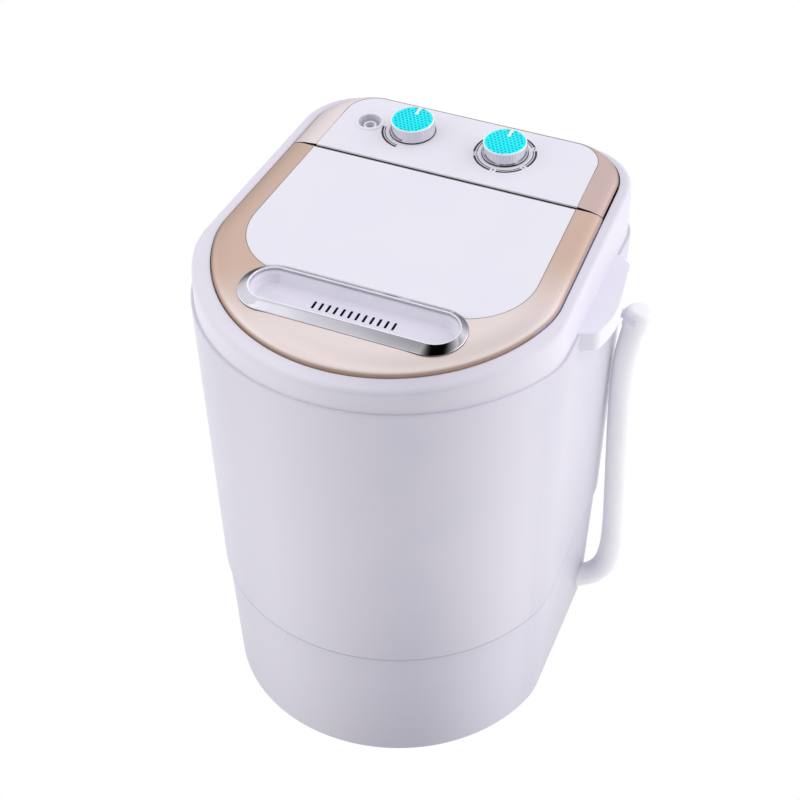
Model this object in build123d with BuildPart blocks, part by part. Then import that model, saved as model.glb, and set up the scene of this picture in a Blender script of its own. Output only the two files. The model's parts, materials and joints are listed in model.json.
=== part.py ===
"""Compact top load washing machine with a single tub, as an assembly of separate solids.

Millimetres, +Z up, front towards -Y, origin on the floor at the centre of the bounding box.
The front of every plan outline is an arc about the tub axis, so most sketches are drawn on
planes whose origin is on that axis.
"""

import math
import os
from collections import namedtuple

from build123d import *

os.makedirs("parts", exist_ok=True)

# Heights from the floor
foot_height = 6.0
base_height = 144.0
body_height = 320.0
lid_edge_rise = 40.5
top_tilt = 4.8

# Plan outlines: front arc radius, half width beside the tub axis, depth behind it, back corner radius
lid_front = 170.0
lid_side = 165.4
lid_back = 205.0
lid_corner = 55.0
rim_front = 188.4
rim_side = 178.4
rim_back = 210.4
rim_corner = 61.0
body_top_front = 191.3
body_top_side = 182.0
body_top_back = 213.3
body_top_corner = 66.0
body_bottom_front = 179.8
body_bottom_side = 174.2
body_bottom_back = 200.4
body_bottom_corner = 62.0
base_front = 170.0
base_side = 166.4
base_back = 192.0
base_corner = 55.0
side_lean = 0.0533
shoulder_radius = 90.0

# Walls and fits
wall = 3.0
body_wall = 3.2
body_edge = 1.8
base_step = 2.4
tongue_height = 9.0
tongue_wall = 2.6
running_clearance = 0.05
moving_gap = 0.3
fit_gap = 0.2

# Tub and drive, on the tub axis
tub_radius_top = 148.0
tub_radius_floor = 140.0
tub_floor = 170.0
tub_wall = 2.5
tub_floor_thickness = 4.0
tub_corner = 24.0
tub_flange_radius = 162.0
tub_hole_gap = 1.0
shaft_radius = 6.0
shaft_bottom = 38.0
shaft_top = 190.0
bush_radius = 12.0
bush_length = 20.0
bush_seal_gap = 3.0
spigot_radius = 15.0
bearing_tube_radius = 20.0
bearing_tube_bottom = 74.0
bearing_flange_radius = 42.0
bearing_flange_thickness = 4.0
seal_length = 10.0
pulsator_radius = 106.0
pulsator_gap = 4.0
pulsator_disc = 7.0
pulsator_hub_radius = 26.0
pulsator_hub_height = 20.0
pulsator_cone_radius = 52.0
vane_count = 4
vane_height = 24.0
vane_width = 16.0
vane_length = 95.4
vane_taper = 12.0
vane_round = 3.0
screw_seat_wall = 3.0
screw_grip = 6.0
shaft_chamfer = 1.0
pulley_bottom = 44.0
pulley_width = 14.0
pulley_groove = 9.0
pulley_groove_depth = 7.0
pulley_hub_radius = 16.0
pulley_web = 4.6
pulley_rim = 3.0
nut_radius = 11.2
hex_sides = 6
driven_pulley_radius = 66.0
motor_pulley_radius = 22.0
belt_height = 8.0
belt_thickness = 5.0

# Motor, capacitor and chassis
motor_x = -72.0
motor_y = 92.0
motor_radius = 50.0
motor_bottom = 72.0
motor_top = 150.0
motor_wall = 4.0
motor_shaft_radius = 5.0
rotor_radius = 32.0
rotor_length = 44.0
rotor_air_gap = 0.6
chassis_thickness = 3.0
chassis_half_width = 46.0
mount_radius = 8.0
mount_circle = 35.0
mount_angles = (45.0, 135.0, 225.0, 315.0)
screw_radius = 2.0
screw_head_radius = 4.0
screw_head_height = 2.5
chassis_screw_circle = 32.0
chassis_screw_count = 4
chassis_screw_start = 45.0
chassis_screw_grip = 2.0
chassis_shaft_hole = 10.0
capacitor_radius = 19.0
capacitor_length = 62.0
capacitor_x = -112.0
capacitor_y = -62.0
capacitor_round = 3.0
strap_width = 14.0
strap_ear = 8.0
strap_thickness = 1.5

# Lid and control panel, in the tilted top plane
crown_rise = 5.7
crown_width = 25.0
crown_low_step = 4.5
crown_low_rise = 2.3
crown_middle_step = 12.0
crown_middle_rise = 4.4
crown_back_share = 0.2
skin = 4.2
lid_skirt = 7.0
recess_depth = 8.2
recess_gap = 1.5
rim_rise = -2.0
rim_round = 5.0
shelf = 2.8
opening_radius = 146.0
opening_back = 95.0
collar_wall = 3.0
deck_thickness = 3.0
seam = 107.0
seam_gap = 0.8
plate_thickness = 2.0
plate_gap = 0.3
panel_front = -77.0
panel_front_corner = 65.0
hinge_radius = 4.6
hinge_pin_radius = 1.5
hinge_ear_radius = 3.0
hinge_ear_width = 5.0
hinge_knuckle = 9.4
hinge_x = 110.0
hinge_lip_margin = 10.0
hinge_arm = 2.4
hinge_arm_back = 1.0
buffer_radius = 4.0
buffer_angles = (-62.0, -28.0, 28.0, 62.0)

# Lid handle
bezel_length = 218.0
bezel_width = 63.0
bezel_centre = -98.5
bezel_bottom = 4.6
bezel_top = 8.4
cup_length = 200.0
cup_width = 41.0
cup_centre = -94.5
cup_floor_length = 190.0
cup_floor_width = 31.0
cup_depth = 11.0
cup_wall = 2.0
cup_flange = 4.0
cup_flange_thickness = 1.0
bezel_lip = 3.0
slot_count = 12
slot_pitch = 7.1
slot_length = 10.0
slot_width = 2.5

# Knobs and water inlet
timer_x = 42.0
timer_y = 160.0
selector_x = -55.2
selector_y = 161.0
knob_base_radius = 22.9
knob_top_radius = 21.2
knob_height = 13.9
knob_wall = 2.2
knob_hub_radius = 7.0
cap_radius = 20.1
cap_height = 1.6
cap_sink = 0.7
pointer_length = 11.0
pointer_width = 2.2
pointer_height = 0.6
knob_shaft_radius = 3.0
knob_shaft_hole = 4.0
knob_shaft_depth = 16.0
timer_side = 46.0
timer_depth = 34.0
selector_side = 38.0
selector_depth = 26.0
control_round = 3.0
control_shaft_gap = 3.0
inlet_x = -101.0
inlet_y = 160.0
inlet_bore = 11.3
inlet_wall = 2.0
inlet_depth = 15.0
inlet_lip = 1.2
inlet_lip_height = 0.6
nozzle_radius = 6.5
nozzle_bore = 4.5
nozzle_drop = 4.0
spout_x = -84.0
spout_drop = 22.0
spout_bend = 9.0
spout_way_depth = 12.0
window_left = -128.0
window_right = 128.0
window_front = 104.0
window_back = 194.0

# Side carrying grips
grip_front = -6.0
grip_front_stand = 17.6
grip_front_run = 7.5
grip_crest = 36.0
grip_crest_stand = 24.6
grip_tail_stand = 11.0
grip_tail_run = 11.0
grip_back = 125.0
grip_root = 20.0
grip_rise = 1.0
grip_drop = 18.0
grip_plate = 5.0
grip_lip = 3.0
grip_corner = 10.0
grip_bow = 110.0
grip_edge = 2.0

# Drain hose: exit in the base side wall, heading and route as distance along the heading and rise
hose_x = 162.5
hose_y = 130.1
hose_rise = 24.2
hose_heading = 24.1
hose_radius = 12.5
hose_bore = 10.0
hose_points = (
    (-8.6, 0.0),
    (-1.0, 0.0),
    (8.7, 2.6),
    (18.2, 9.2),
    (25.8, 21.2),
    (30.6, 46.8),
    (30.3, 96.8),
    (26.5, 186.7),
    (23.6, 276.7),
    (26.8, 326.5),
    (35.8, 366.5),
)
hose_arc_share = 0.45
cap_sleeve_radius = 13.6
cap_sleeve_length = 20.0
cap_end = 2.0
cap_nose = 5.0
cap_mouth_round = 0.4
clip_thickness = 1.8
clip_height = 5.0
clip_drop = 8.0
clip_open = -5.0
clip_arm_width = 9.0
clip_arm_height = 4.4
clip_arm_reach = 40.0
drain_bend = 30.0
drain_margin = 1.4
grille_radius = 16.0
grille_thickness = 2.0
grille_hole = 2.2
grille_hole_circle = 5.9
grille_hole_count = 6

# Feet, harness and gland
foot_radius = 13.0
foot_stem_radius = 4.0
foot_chamfer = 1.5
foot_front_x = 115.0
foot_front_y = -92.0
foot_back_x = 108.0
foot_back_y = 140.0
vent_count = 7
vent_pitch = 14.0
vent_length = 60.0
vent_width = 5.0
harness_radius = 4.0
harness_x = -8.0
harness_y = 178.0
harness_top = 492.0
harness_turn = 118.0
harness_bend = 14.0
harness_hole = 6.5
gland_x = -70.0
gland_z = 66.0
gland_radius = 9.0
gland_bore = 4.0
gland_flange = 13.0
gland_out = 6.0
gland_in = 8.0

# Outlines, heights and places that follow
Outline = namedtuple("Outline", "front side back corner")
lid_outline = Outline(lid_front, lid_side, lid_back, lid_corner)
rim_outline = Outline(rim_front, rim_side, rim_back, rim_corner)
body_top_outline = Outline(body_top_front, body_top_side, body_top_back, body_top_corner)
body_bottom_outline = Outline(body_bottom_front, body_bottom_side, body_bottom_back, body_bottom_corner)
base_bottom_outline = Outline(base_front, base_side, base_back, base_corner)
crown_steps = (
    (0.0, 0.0),
    (crown_low_step, crown_low_rise),
    (crown_middle_step, crown_middle_rise),
    (crown_width, crown_rise),
)
axis_y = (body_top_front - body_top_back) / 2
base_top = foot_height + base_height
seam_height = base_top + body_height
lid_edge = seam_height + lid_edge_rise
tilt = math.radians(top_tilt)
tub_bottom = tub_floor - tub_floor_thickness
chassis_top = tub_bottom - bearing_flange_thickness
chassis_bottom = chassis_top - chassis_thickness
base_floor = foot_height + wall
tub_top = seam_height + tub_wall
hinge_v = seam - hinge_radius
hinge_w = crown_rise - hinge_radius
panel_face = seam + seam_gap
plate_bottom = crown_rise - plate_thickness
skin_bottom = crown_rise - skin
hose_z = foot_height + hose_rise
pulley_middle = pulley_bottom + pulley_width / 2
shaft_hole = shaft_radius + running_clearance


def level(height):
    """Horizontal plane at a height above the floor, with its origin on the tub axis."""
    return Plane((0, axis_y, height))


def top(rise):
    """Plane of the tilted top, a distance above the edge of the lid, measured along its normal."""
    tilted = Plane((0, axis_y, lid_edge), x_dir=(1, 0, 0), z_dir=(0, -math.sin(tilt), math.cos(tilt)))
    return tilted.offset(rise)


def top_side(x):
    """Plane across the top at a distance from the middle, its x to the back and its y up."""
    flat = top(0)
    return Plane(flat.origin + flat.x_dir * x, x_dir=flat.y_dir, z_dir=flat.x_dir)


def inset(outline, distance, back_distance=None):
    """Outline moved inwards all round, with its own distance at the back where one is given."""
    back_step = distance if back_distance is None else back_distance
    return Outline(
        outline.front - distance,
        outline.side - distance,
        outline.back - back_step,
        outline.corner - distance,
    )


def plan(plane, outline):
    """Sketch of a plan outline: front arc, leaning sides, straight back, rounded corners."""
    lean_square = 1 + side_lean**2
    reach = math.sqrt(outline.front**2 * lean_square - outline.side**2)
    shoulder_y = (outline.side * side_lean - reach) / lean_square
    shoulder_x = outline.side - side_lean * shoulder_y
    back_x = outline.side - side_lean * outline.back
    with BuildSketch(plane) as sketch:
        with BuildLine():
            ThreePointArc((shoulder_x, shoulder_y), (0, -outline.front), (-shoulder_x, shoulder_y))
            Polyline(
                (-shoulder_x, shoulder_y),
                (-back_x, outline.back),
                (back_x, outline.back),
                (shoulder_x, shoulder_y),
            )
        make_face()
        fillet(sketch.vertices().sort_by(Axis.Y)[-2:], outline.corner)
        fillet(sketch.vertices().sort_by(Axis.Y)[:2], shoulder_radius)
    return sketch.sketch


def crown_sections(outline, drop):
    """Sketches that step up from the edge of the top to its crown, lowered by a drop."""
    sections = []
    for step, rise in crown_steps:
        sections.append(plan(top(rise - drop), inset(outline, step, step * crown_back_share)))
    return sections


def slot_sketch(rise, centre, length, width):
    """Stadium in the tilted top plane, centred on the middle line."""
    with BuildSketch(top(rise)) as sketch:
        with Locations((0, centre)):
            SlotOverall(length, width)
    return sketch.sketch


def disc(plane, x, y, radius):
    """Round sketch at a place in a plane."""
    with BuildSketch(plane) as sketch:
        with Locations((x, y)):
            Circle(radius)
    return sketch.sketch


def ring(plane, x, y, outer, inner):
    """Ring sketch at a place in a plane."""
    with BuildSketch(plane) as sketch:
        with Locations((x, y)):
            Circle(outer)
            Circle(inner, mode=Mode.SUBTRACT)
    return sketch.sketch


def block(plane, x_min, x_max, y_min, y_max):
    """Rectangle sketch between limits in a plane."""
    with BuildSketch(plane) as sketch:
        with Locations(((x_min + x_max) / 2, (y_min + y_max) / 2)):
            Rectangle(x_max - x_min, y_max - y_min)
    return sketch.sketch


def opening(plane, radius, back):
    """Round opening over the tub, cut straight at the back."""
    with BuildSketch(plane) as sketch:
        Circle(radius)
        with Locations((0, back + radius)):
            Rectangle(2 * radius, 2 * radius, mode=Mode.SUBTRACT)
    return sketch.sketch


def route_radii(points):
    """Largest arc at each bend that its two runs allow."""
    radii = []
    for before, here, after in zip(points, points[1:], points[2:]):
        run_in = Vector(*here) - Vector(*before)
        run_out = Vector(*after) - Vector(*here)
        half_turn = math.radians(run_in.get_angle(run_out)) / 2
        radii.append(hose_arc_share * min(run_in.length, run_out.length) / math.tan(half_turn))
    return radii


def save(builder, name):
    """Label a sub-part and write its STEP file."""
    builder.part.label = name
    export_step(builder.part, f"parts/{name}.step")


# Base skirt with its floor, the tongue that the body sits over, vents and wall holes
base_top_outline = inset(body_bottom_outline, base_step)
base_sections = [plan(level(foot_height), base_bottom_outline), plan(level(base_top), base_top_outline)]
body_sections = [plan(level(base_top), body_bottom_outline), plan(level(seam_height), body_top_outline)]
hose_plane = Plane(
    (hose_x, hose_y + axis_y, hose_z),
    x_dir=(math.cos(math.radians(hose_heading)), math.sin(math.radians(hose_heading)), 0),
    z_dir=(math.sin(math.radians(hose_heading)), -math.cos(math.radians(hose_heading)), 0),
)
hose_exit = Plane(hose_plane.origin, x_dir=(0, 0, 1), z_dir=hose_plane.x_dir)
gland_plane = Plane((gland_x, axis_y, gland_z), x_dir=(1, 0, 0), z_dir=(0, 1, 0))
foot_places = [
    (-foot_front_x, foot_front_y),
    (foot_front_x, foot_front_y),
    (-foot_back_x, foot_back_y),
    (foot_back_x, foot_back_y),
]

hose_radii = route_radii(hose_points)
print("hose bend radii", [round(radius, 1) for radius in hose_radii])
hose_start = hose_points[0][0]
hose_start_plane = hose_exit.offset(hose_start)

with BuildPart() as hose_room:
    with BuildLine(hose_plane) as room_path:
        FilletPolyline(*hose_points, radius=hose_radii)
    with BuildSketch(hose_start_plane) as room_section:
        Circle(hose_radius + moving_gap)
    sweep(path=room_path.line)

with BuildPart() as base_skirt:
    loft(base_sections, ruled=True)
    tongue_outer = inset(body_bottom_outline, body_wall + moving_gap)
    extrude(plan(level(base_top), tongue_outer), amount=tongue_height)
    loft(
        [
            plan(level(base_floor), inset(base_bottom_outline, wall)),
            plan(level(base_top + tongue_height), inset(tongue_outer, tongue_wall)),
        ],
        ruled=True,
        mode=Mode.SUBTRACT,
    )
    with BuildSketch(level(foot_height)) as vents:
        with GridLocations(vent_pitch, vent_pitch, vent_count, 1):
            SlotOverall(vent_length, vent_width, rotation=90)
    extrude(amount=wall, mode=Mode.SUBTRACT)
    with BuildSketch(level(foot_height)) as stem_holes:
        with Locations(*foot_places):
            Circle(foot_stem_radius)
    extrude(amount=wall, mode=Mode.SUBTRACT)
    add(hose_room.part, mode=Mode.SUBTRACT)
    pipe_room = disc(hose_start_plane, 0, 0, hose_radius + moving_gap)
    extrude(pipe_room, amount=-2 * hose_radius, mode=Mode.SUBTRACT)
    extrude(disc(gland_plane, 0, 0, gland_radius), amount=base_back + gland_out, mode=Mode.SUBTRACT)
save(base_skirt, "base_skirt")

with BuildPart() as rubber_feet:
    with BuildSketch(level(0)) as pads:
        with Locations(*foot_places):
            Circle(foot_radius)
    extrude(amount=foot_height)
    chamfer(rubber_feet.edges().group_by(Axis.Z)[0], foot_chamfer)
    with BuildSketch(level(foot_height)) as stems:
        with Locations(*foot_places):
            Circle(foot_stem_radius)
    extrude(amount=wall)
save(rubber_feet, "rubber_feet")

# Body shell with the top plate that carries the tub; its rounded top edge stands out past the rim
with BuildPart() as body_block:
    loft(body_sections, ruled=True)
    fillet(body_block.faces().sort_by(Axis.Z)[-1].edges(), body_edge)

with BuildPart() as body_shell:
    add(body_block.part)
    loft(
        [
            plan(level(base_top), inset(body_bottom_outline, body_wall)),
            plan(level(seam_height - wall), inset(body_top_outline, body_wall)),
        ],
        ruled=True,
        mode=Mode.SUBTRACT,
    )
    tub_hole = tub_radius_top + tub_wall + tub_hole_gap
    extrude(disc(level(seam_height), 0, 0, tub_hole), amount=-wall, mode=Mode.SUBTRACT)
    extrude(disc(level(seam_height), harness_x, harness_y, harness_hole), amount=-wall, mode=Mode.SUBTRACT)
save(body_shell, "body_shell")

# Wash tub hung by its flange, with the holes for the shaft and the drain
hose_direction = hose_plane.x_dir
drain_circle = tub_radius_floor - tub_corner - grille_radius - drain_margin
exit_inward = hose_x * hose_direction.X + hose_y * hose_direction.Y
drain_run = exit_inward - math.sqrt(exit_inward**2 - hose_x**2 - hose_y**2 + drain_circle**2)
drain_x = hose_x - hose_direction.X * drain_run
drain_y = hose_y - hose_direction.Y * drain_run
tub_side = Plane((0, axis_y, 0), x_dir=(1, 0, 0), z_dir=(0, -1, 0))

with BuildPart() as wash_tub:
    with BuildSketch(tub_side) as tub_section:
        with BuildLine():
            Polyline(
                (0, tub_bottom),
                (tub_radius_floor + tub_wall, tub_bottom),
                (tub_radius_top + tub_wall, seam_height),
                (tub_flange_radius, seam_height),
                (tub_flange_radius, tub_top),
                (0, tub_top),
                (0, tub_bottom),
            )
        make_face()
        fillet(tub_section.vertices().sort_by_distance((tub_radius_floor, tub_bottom))[:1], tub_corner)
    revolve(axis=Axis((0, axis_y, 0), (0, 0, 1)))
    with BuildSketch(tub_side) as tub_inside:
        with BuildLine():
            Polyline(
                (0, tub_floor),
                (tub_radius_floor, tub_floor),
                (tub_radius_top, tub_top),
                (0, tub_top),
                (0, tub_floor),
            )
        make_face()
        inner_corner = tub_corner - tub_wall
        fillet(tub_inside.vertices().sort_by_distance((tub_radius_floor, tub_floor))[:1], inner_corner)
    revolve(axis=Axis((0, axis_y, 0), (0, 0, 1)), mode=Mode.SUBTRACT)
    shaft_way = disc(level(tub_bottom), 0, 0, spigot_radius)
    extrude(shaft_way, amount=tub_floor_thickness, mode=Mode.SUBTRACT)
    drain_way = disc(level(tub_bottom), drain_x, drain_y, hose_bore)
    extrude(drain_way, amount=tub_floor_thickness, mode=Mode.SUBTRACT)
    with BuildSketch(level(tub_bottom)) as screw_holes:
        with PolarLocations(chassis_screw_circle, chassis_screw_count, start_angle=chassis_screw_start):
            Circle(screw_radius)
    extrude(amount=chassis_screw_grip, mode=Mode.SUBTRACT)
save(wash_tub, "wash_tub")

with BuildPart() as drain_grille:
    extrude(disc(level(tub_floor), drain_x, drain_y, grille_radius), amount=grille_thickness)
    fillet(drain_grille.edges().group_by(Axis.Z)[-1], grille_thickness / 2)
    with BuildSketch(level(tub_floor)) as grille_holes:
        with Locations((drain_x, drain_y)):
            with PolarLocations(grille_hole_circle, grille_hole_count):
                Circle(grille_hole)
            Circle(grille_hole)
    extrude(amount=grille_thickness, mode=Mode.SUBTRACT)
save(drain_grille, "drain_grille")

# Pulsator with its vanes, screw and shaft
pulsator_bottom = tub_floor + pulsator_gap
pulsator_top = pulsator_bottom + pulsator_disc
hub_top = pulsator_top + pulsator_hub_height
screw_seat = shaft_top + screw_seat_wall

with BuildPart() as pulsator:
    extrude(disc(level(pulsator_bottom), 0, 0, pulsator_radius), amount=pulsator_disc)
    fillet(pulsator.edges().group_by(Axis.Z)[-1], pulsator_disc / 2)
    loft(
        [
            disc(level(pulsator_top), 0, 0, pulsator_cone_radius),
            disc(level(hub_top), 0, 0, pulsator_hub_radius),
        ],
        ruled=True,
    )
    with BuildSketch(level(pulsator_top)) as vanes:
        with PolarLocations(pulsator_radius / 2, vane_count):
            SlotOverall(vane_length, vane_width)
    extrude(amount=vane_height, taper=vane_taper)
    fillet(pulsator.edges().group_by(Axis.Z)[-1], vane_round)
    shaft_socket = disc(level(pulsator_bottom), 0, 0, shaft_hole)
    extrude(shaft_socket, amount=shaft_top - pulsator_bottom, mode=Mode.SUBTRACT)
    extrude(disc(level(shaft_top), 0, 0, screw_radius), amount=vane_height, mode=Mode.SUBTRACT)
    head_room = disc(level(screw_seat), 0, 0, screw_head_radius + fit_gap)
    extrude(head_room, amount=vane_height, mode=Mode.SUBTRACT)
save(pulsator, "pulsator")

with BuildPart() as pulsator_screw:
    extrude(disc(level(screw_seat), 0, 0, screw_head_radius), amount=screw_head_height)
    extrude(disc(level(screw_seat), 0, 0, screw_radius), amount=-screw_seat_wall - screw_grip)
save(pulsator_screw, "pulsator_screw")

with BuildPart() as drive_shaft:
    extrude(disc(level(shaft_bottom), 0, 0, shaft_radius), amount=shaft_top - shaft_bottom)
    chamfer(drive_shaft.edges().group_by(Axis.Z)[0], shaft_chamfer)
    extrude(disc(level(shaft_top), 0, 0, screw_radius), amount=-screw_grip, mode=Mode.SUBTRACT)
save(drive_shaft, "drive_shaft")

# Bearing housing under the tub, its bushes and seal
with BuildPart() as bearing_housing:
    extrude(disc(level(chassis_top), 0, 0, bearing_flange_radius), amount=bearing_flange_thickness)
    bearing_tube = disc(level(bearing_tube_bottom), 0, 0, bearing_tube_radius)
    extrude(bearing_tube, amount=chassis_top - bearing_tube_bottom)
    extrude(disc(level(tub_bottom), 0, 0, spigot_radius), amount=tub_floor_thickness)
    bore_length = tub_floor - bearing_tube_bottom
    extrude(disc(level(bearing_tube_bottom), 0, 0, bush_radius), amount=bore_length, mode=Mode.SUBTRACT)
    with BuildSketch(level(chassis_top)) as flange_holes:
        with PolarLocations(chassis_screw_circle, chassis_screw_count, start_angle=chassis_screw_start):
            Circle(screw_radius)
    extrude(amount=bearing_flange_thickness, mode=Mode.SUBTRACT)
save(bearing_housing, "bearing_housing")

with BuildPart() as shaft_bushes:
    for bottom in (bearing_tube_bottom, tub_floor - seal_length - bush_seal_gap - bush_length):
        extrude(ring(level(bottom), 0, 0, bush_radius, shaft_hole), amount=bush_length)
save(shaft_bushes, "shaft_bushes")

with BuildPart() as shaft_seal:
    extrude(ring(level(tub_floor - seal_length), 0, 0, bush_radius, shaft_hole), amount=seal_length)
save(shaft_seal, "shaft_seal")


def draw_pulley(x, y, radius, hub_radius, bore):
    """Grooved pulley in the belt plane, with a hub around its bore."""
    with BuildPart() as pulley:
        extrude(disc(level(pulley_bottom), x, y, radius), amount=pulley_width)
        groove_floor = radius - pulley_groove_depth
        extrude(
            ring(level(pulley_middle - pulley_groove / 2), x, y, radius, groove_floor),
            amount=pulley_groove,
            mode=Mode.SUBTRACT,
        )
        if hub_radius > 0:
            dish_depth = (pulley_width - pulley_web) / 2
            lower_dish = ring(level(pulley_bottom), x, y, groove_floor - pulley_rim, hub_radius)
            extrude(lower_dish, amount=dish_depth, mode=Mode.SUBTRACT)
            pulley_top = pulley_bottom + pulley_width
            upper_dish = ring(level(pulley_top), x, y, groove_floor - pulley_rim, hub_radius)
            extrude(upper_dish, amount=-dish_depth, mode=Mode.SUBTRACT)
        extrude(disc(level(pulley_bottom), x, y, bore), amount=pulley_width, mode=Mode.SUBTRACT)
    return pulley


driven_pulley = draw_pulley(0, 0, driven_pulley_radius, pulley_hub_radius, shaft_hole)
save(driven_pulley, "driven_pulley")

with BuildPart() as pulley_nut:
    nut_height = pulley_bottom - shaft_bottom - shaft_chamfer
    with BuildSketch(level(pulley_bottom)) as nut_sketch:
        RegularPolygon(nut_radius, hex_sides)
        Circle(shaft_hole, mode=Mode.SUBTRACT)
    extrude(amount=-nut_height)
save(pulley_nut, "pulley_nut")

motor_bore = motor_shaft_radius + running_clearance
motor_pulley = draw_pulley(motor_x, motor_y, motor_pulley_radius, 0, motor_bore)
save(motor_pulley, "motor_pulley")


def belt_loop(gap):
    """Outline round both pulley grooves at a distance from their floors."""
    with BuildSketch(level(pulley_middle - belt_height / 2)) as sketch:
        Circle(driven_pulley_radius - pulley_groove_depth + gap)
        with Locations((motor_x, motor_y)):
            Circle(motor_pulley_radius - pulley_groove_depth + gap)
        make_hull()
    return sketch.sketch


with BuildPart() as drive_belt:
    extrude(belt_loop(moving_gap + belt_thickness), amount=belt_height)
    extrude(belt_loop(moving_gap), amount=belt_height, mode=Mode.SUBTRACT)
save(drive_belt, "drive_belt")

# Motor with its rotor and shaft, hung from the chassis on rubber mounts
motor_places = []
for angle in mount_angles:
    mount_x = motor_x + mount_circle * math.cos(math.radians(angle))
    mount_y = motor_y + mount_circle * math.sin(math.radians(angle))
    motor_places.append((mount_x, mount_y))
motor_height = motor_top - motor_bottom
rotor_bottom = (motor_bottom + motor_top - rotor_length) / 2

with BuildPart() as motor_case:
    extrude(disc(level(motor_bottom), motor_x, motor_y, motor_radius), amount=motor_height)
    fillet(motor_case.edges().group_by(Axis.Z)[0], motor_wall)
    extrude(
        disc(level(motor_bottom + motor_wall), motor_x, motor_y, motor_radius - motor_wall),
        amount=motor_height - 2 * motor_wall,
        mode=Mode.SUBTRACT,
    )
    extrude(disc(level(motor_bottom), motor_x, motor_y, motor_bore), amount=motor_height, mode=Mode.SUBTRACT)
save(motor_case, "motor_case")

with BuildPart() as motor_stator:
    stator_bore = rotor_radius + rotor_air_gap
    stator_ring = ring(level(rotor_bottom), motor_x, motor_y, motor_radius - motor_wall, stator_bore)
    extrude(stator_ring, amount=rotor_length)
save(motor_stator, "motor_stator")

with BuildPart() as motor_rotor:
    extrude(ring(level(rotor_bottom), motor_x, motor_y, rotor_radius, motor_bore), amount=rotor_length)
save(motor_rotor, "motor_rotor")

with BuildPart() as motor_shaft:
    shaft_section = disc(level(shaft_bottom), motor_x, motor_y, motor_shaft_radius)
    extrude(shaft_section, amount=motor_top - shaft_bottom)
    chamfer(motor_shaft.edges().group_by(Axis.Z)[0], shaft_chamfer)
save(motor_shaft, "motor_shaft")

with BuildPart() as motor_mounts:
    with BuildSketch(level(motor_top)) as mount_sketch:
        with Locations(*motor_places):
            Circle(mount_radius)
    extrude(amount=chassis_bottom - motor_top)
save(motor_mounts, "motor_mounts")

with BuildPart() as motor_bolts:
    with BuildSketch(level(chassis_top)) as bolt_heads:
        with Locations(*motor_places):
            RegularPolygon(screw_head_radius, hex_sides)
    extrude(amount=screw_head_height)
    with BuildSketch(level(chassis_top)) as bolt_shanks:
        with Locations(*motor_places):
            Circle(screw_radius)
    extrude(amount=-chassis_thickness)
save(motor_bolts, "motor_bolts")

with BuildPart() as drive_chassis:
    with BuildSketch(level(chassis_bottom)) as chassis_sketch:
        Circle(chassis_half_width)
        with Locations((motor_x, motor_y)):
            Circle(chassis_half_width)
        make_hull()
        Circle(bearing_tube_radius + fit_gap, mode=Mode.SUBTRACT)
        with Locations((motor_x, motor_y)):
            Circle(chassis_shaft_hole, mode=Mode.SUBTRACT)
        with Locations(*motor_places):
            Circle(screw_radius, mode=Mode.SUBTRACT)
        with PolarLocations(chassis_screw_circle, chassis_screw_count, start_angle=chassis_screw_start):
            Circle(screw_radius, mode=Mode.SUBTRACT)
    extrude(amount=chassis_thickness)
save(drive_chassis, "drive_chassis")

with BuildPart() as chassis_screws:
    with BuildSketch(level(chassis_bottom)) as screw_heads:
        with PolarLocations(chassis_screw_circle, chassis_screw_count, start_angle=chassis_screw_start):
            RegularPolygon(screw_head_radius, hex_sides)
    extrude(amount=-screw_head_height)
    with BuildSketch(level(chassis_bottom)) as screw_shanks:
        with PolarLocations(chassis_screw_circle, chassis_screw_count, start_angle=chassis_screw_start):
            Circle(screw_radius)
    extrude(amount=tub_bottom - chassis_bottom + chassis_screw_grip)
save(chassis_screws, "chassis_screws")

# Capacitor lying on the base floor under its strap
capacitor_middle = base_floor + capacitor_radius
capacitor_place = (capacitor_x, capacitor_y + axis_y, capacitor_middle)
capacitor_plane = Plane(capacitor_place, x_dir=(1, 0, 0), z_dir=(0, -1, 0))

with BuildPart() as capacitor:
    extrude(disc(capacitor_plane, 0, 0, capacitor_radius), amount=capacitor_length / 2, both=True)
    fillet(capacitor.edges(), capacitor_round)
save(capacitor, "capacitor")

with BuildPart() as capacitor_strap:
    strap_outer = capacitor_radius + strap_thickness
    with BuildSketch(capacitor_plane) as strap_sketch:
        Circle(strap_outer)
        with Locations((0, -capacitor_radius / 2)):
            Rectangle(2 * strap_outer, capacitor_radius)
        with Locations((0, -capacitor_radius + strap_thickness / 2)):
            Rectangle(2 * strap_outer + 2 * strap_ear, strap_thickness)
        Circle(capacitor_radius, mode=Mode.SUBTRACT)
        with Locations((0, -capacitor_radius / 2)):
            Rectangle(2 * capacitor_radius, capacitor_radius, mode=Mode.SUBTRACT)
        with Locations((0, -capacitor_radius - strap_thickness / 2)):
            Rectangle(2 * strap_outer, strap_thickness, mode=Mode.SUBTRACT)
    extrude(amount=strap_width / 2, both=True)
save(capacitor_strap, "capacitor_strap")

# Drain pipe from the tub floor, and the free hose with its end cap and clip
with BuildPart() as drain_pipe:
    with BuildLine(hose_plane) as pipe_path:
        pipe_points = (
            (-drain_run, tub_bottom - hose_z),
            (-drain_run, 0),
            (hose_start, 0),
        )
        FilletPolyline(*pipe_points, radius=drain_bend)
    with BuildSketch(hose_start_plane) as pipe_section:
        Circle(hose_radius)
        Circle(hose_bore, mode=Mode.SUBTRACT)
    sweep(path=pipe_path.line)
save(drain_pipe, "drain_pipe")

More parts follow.
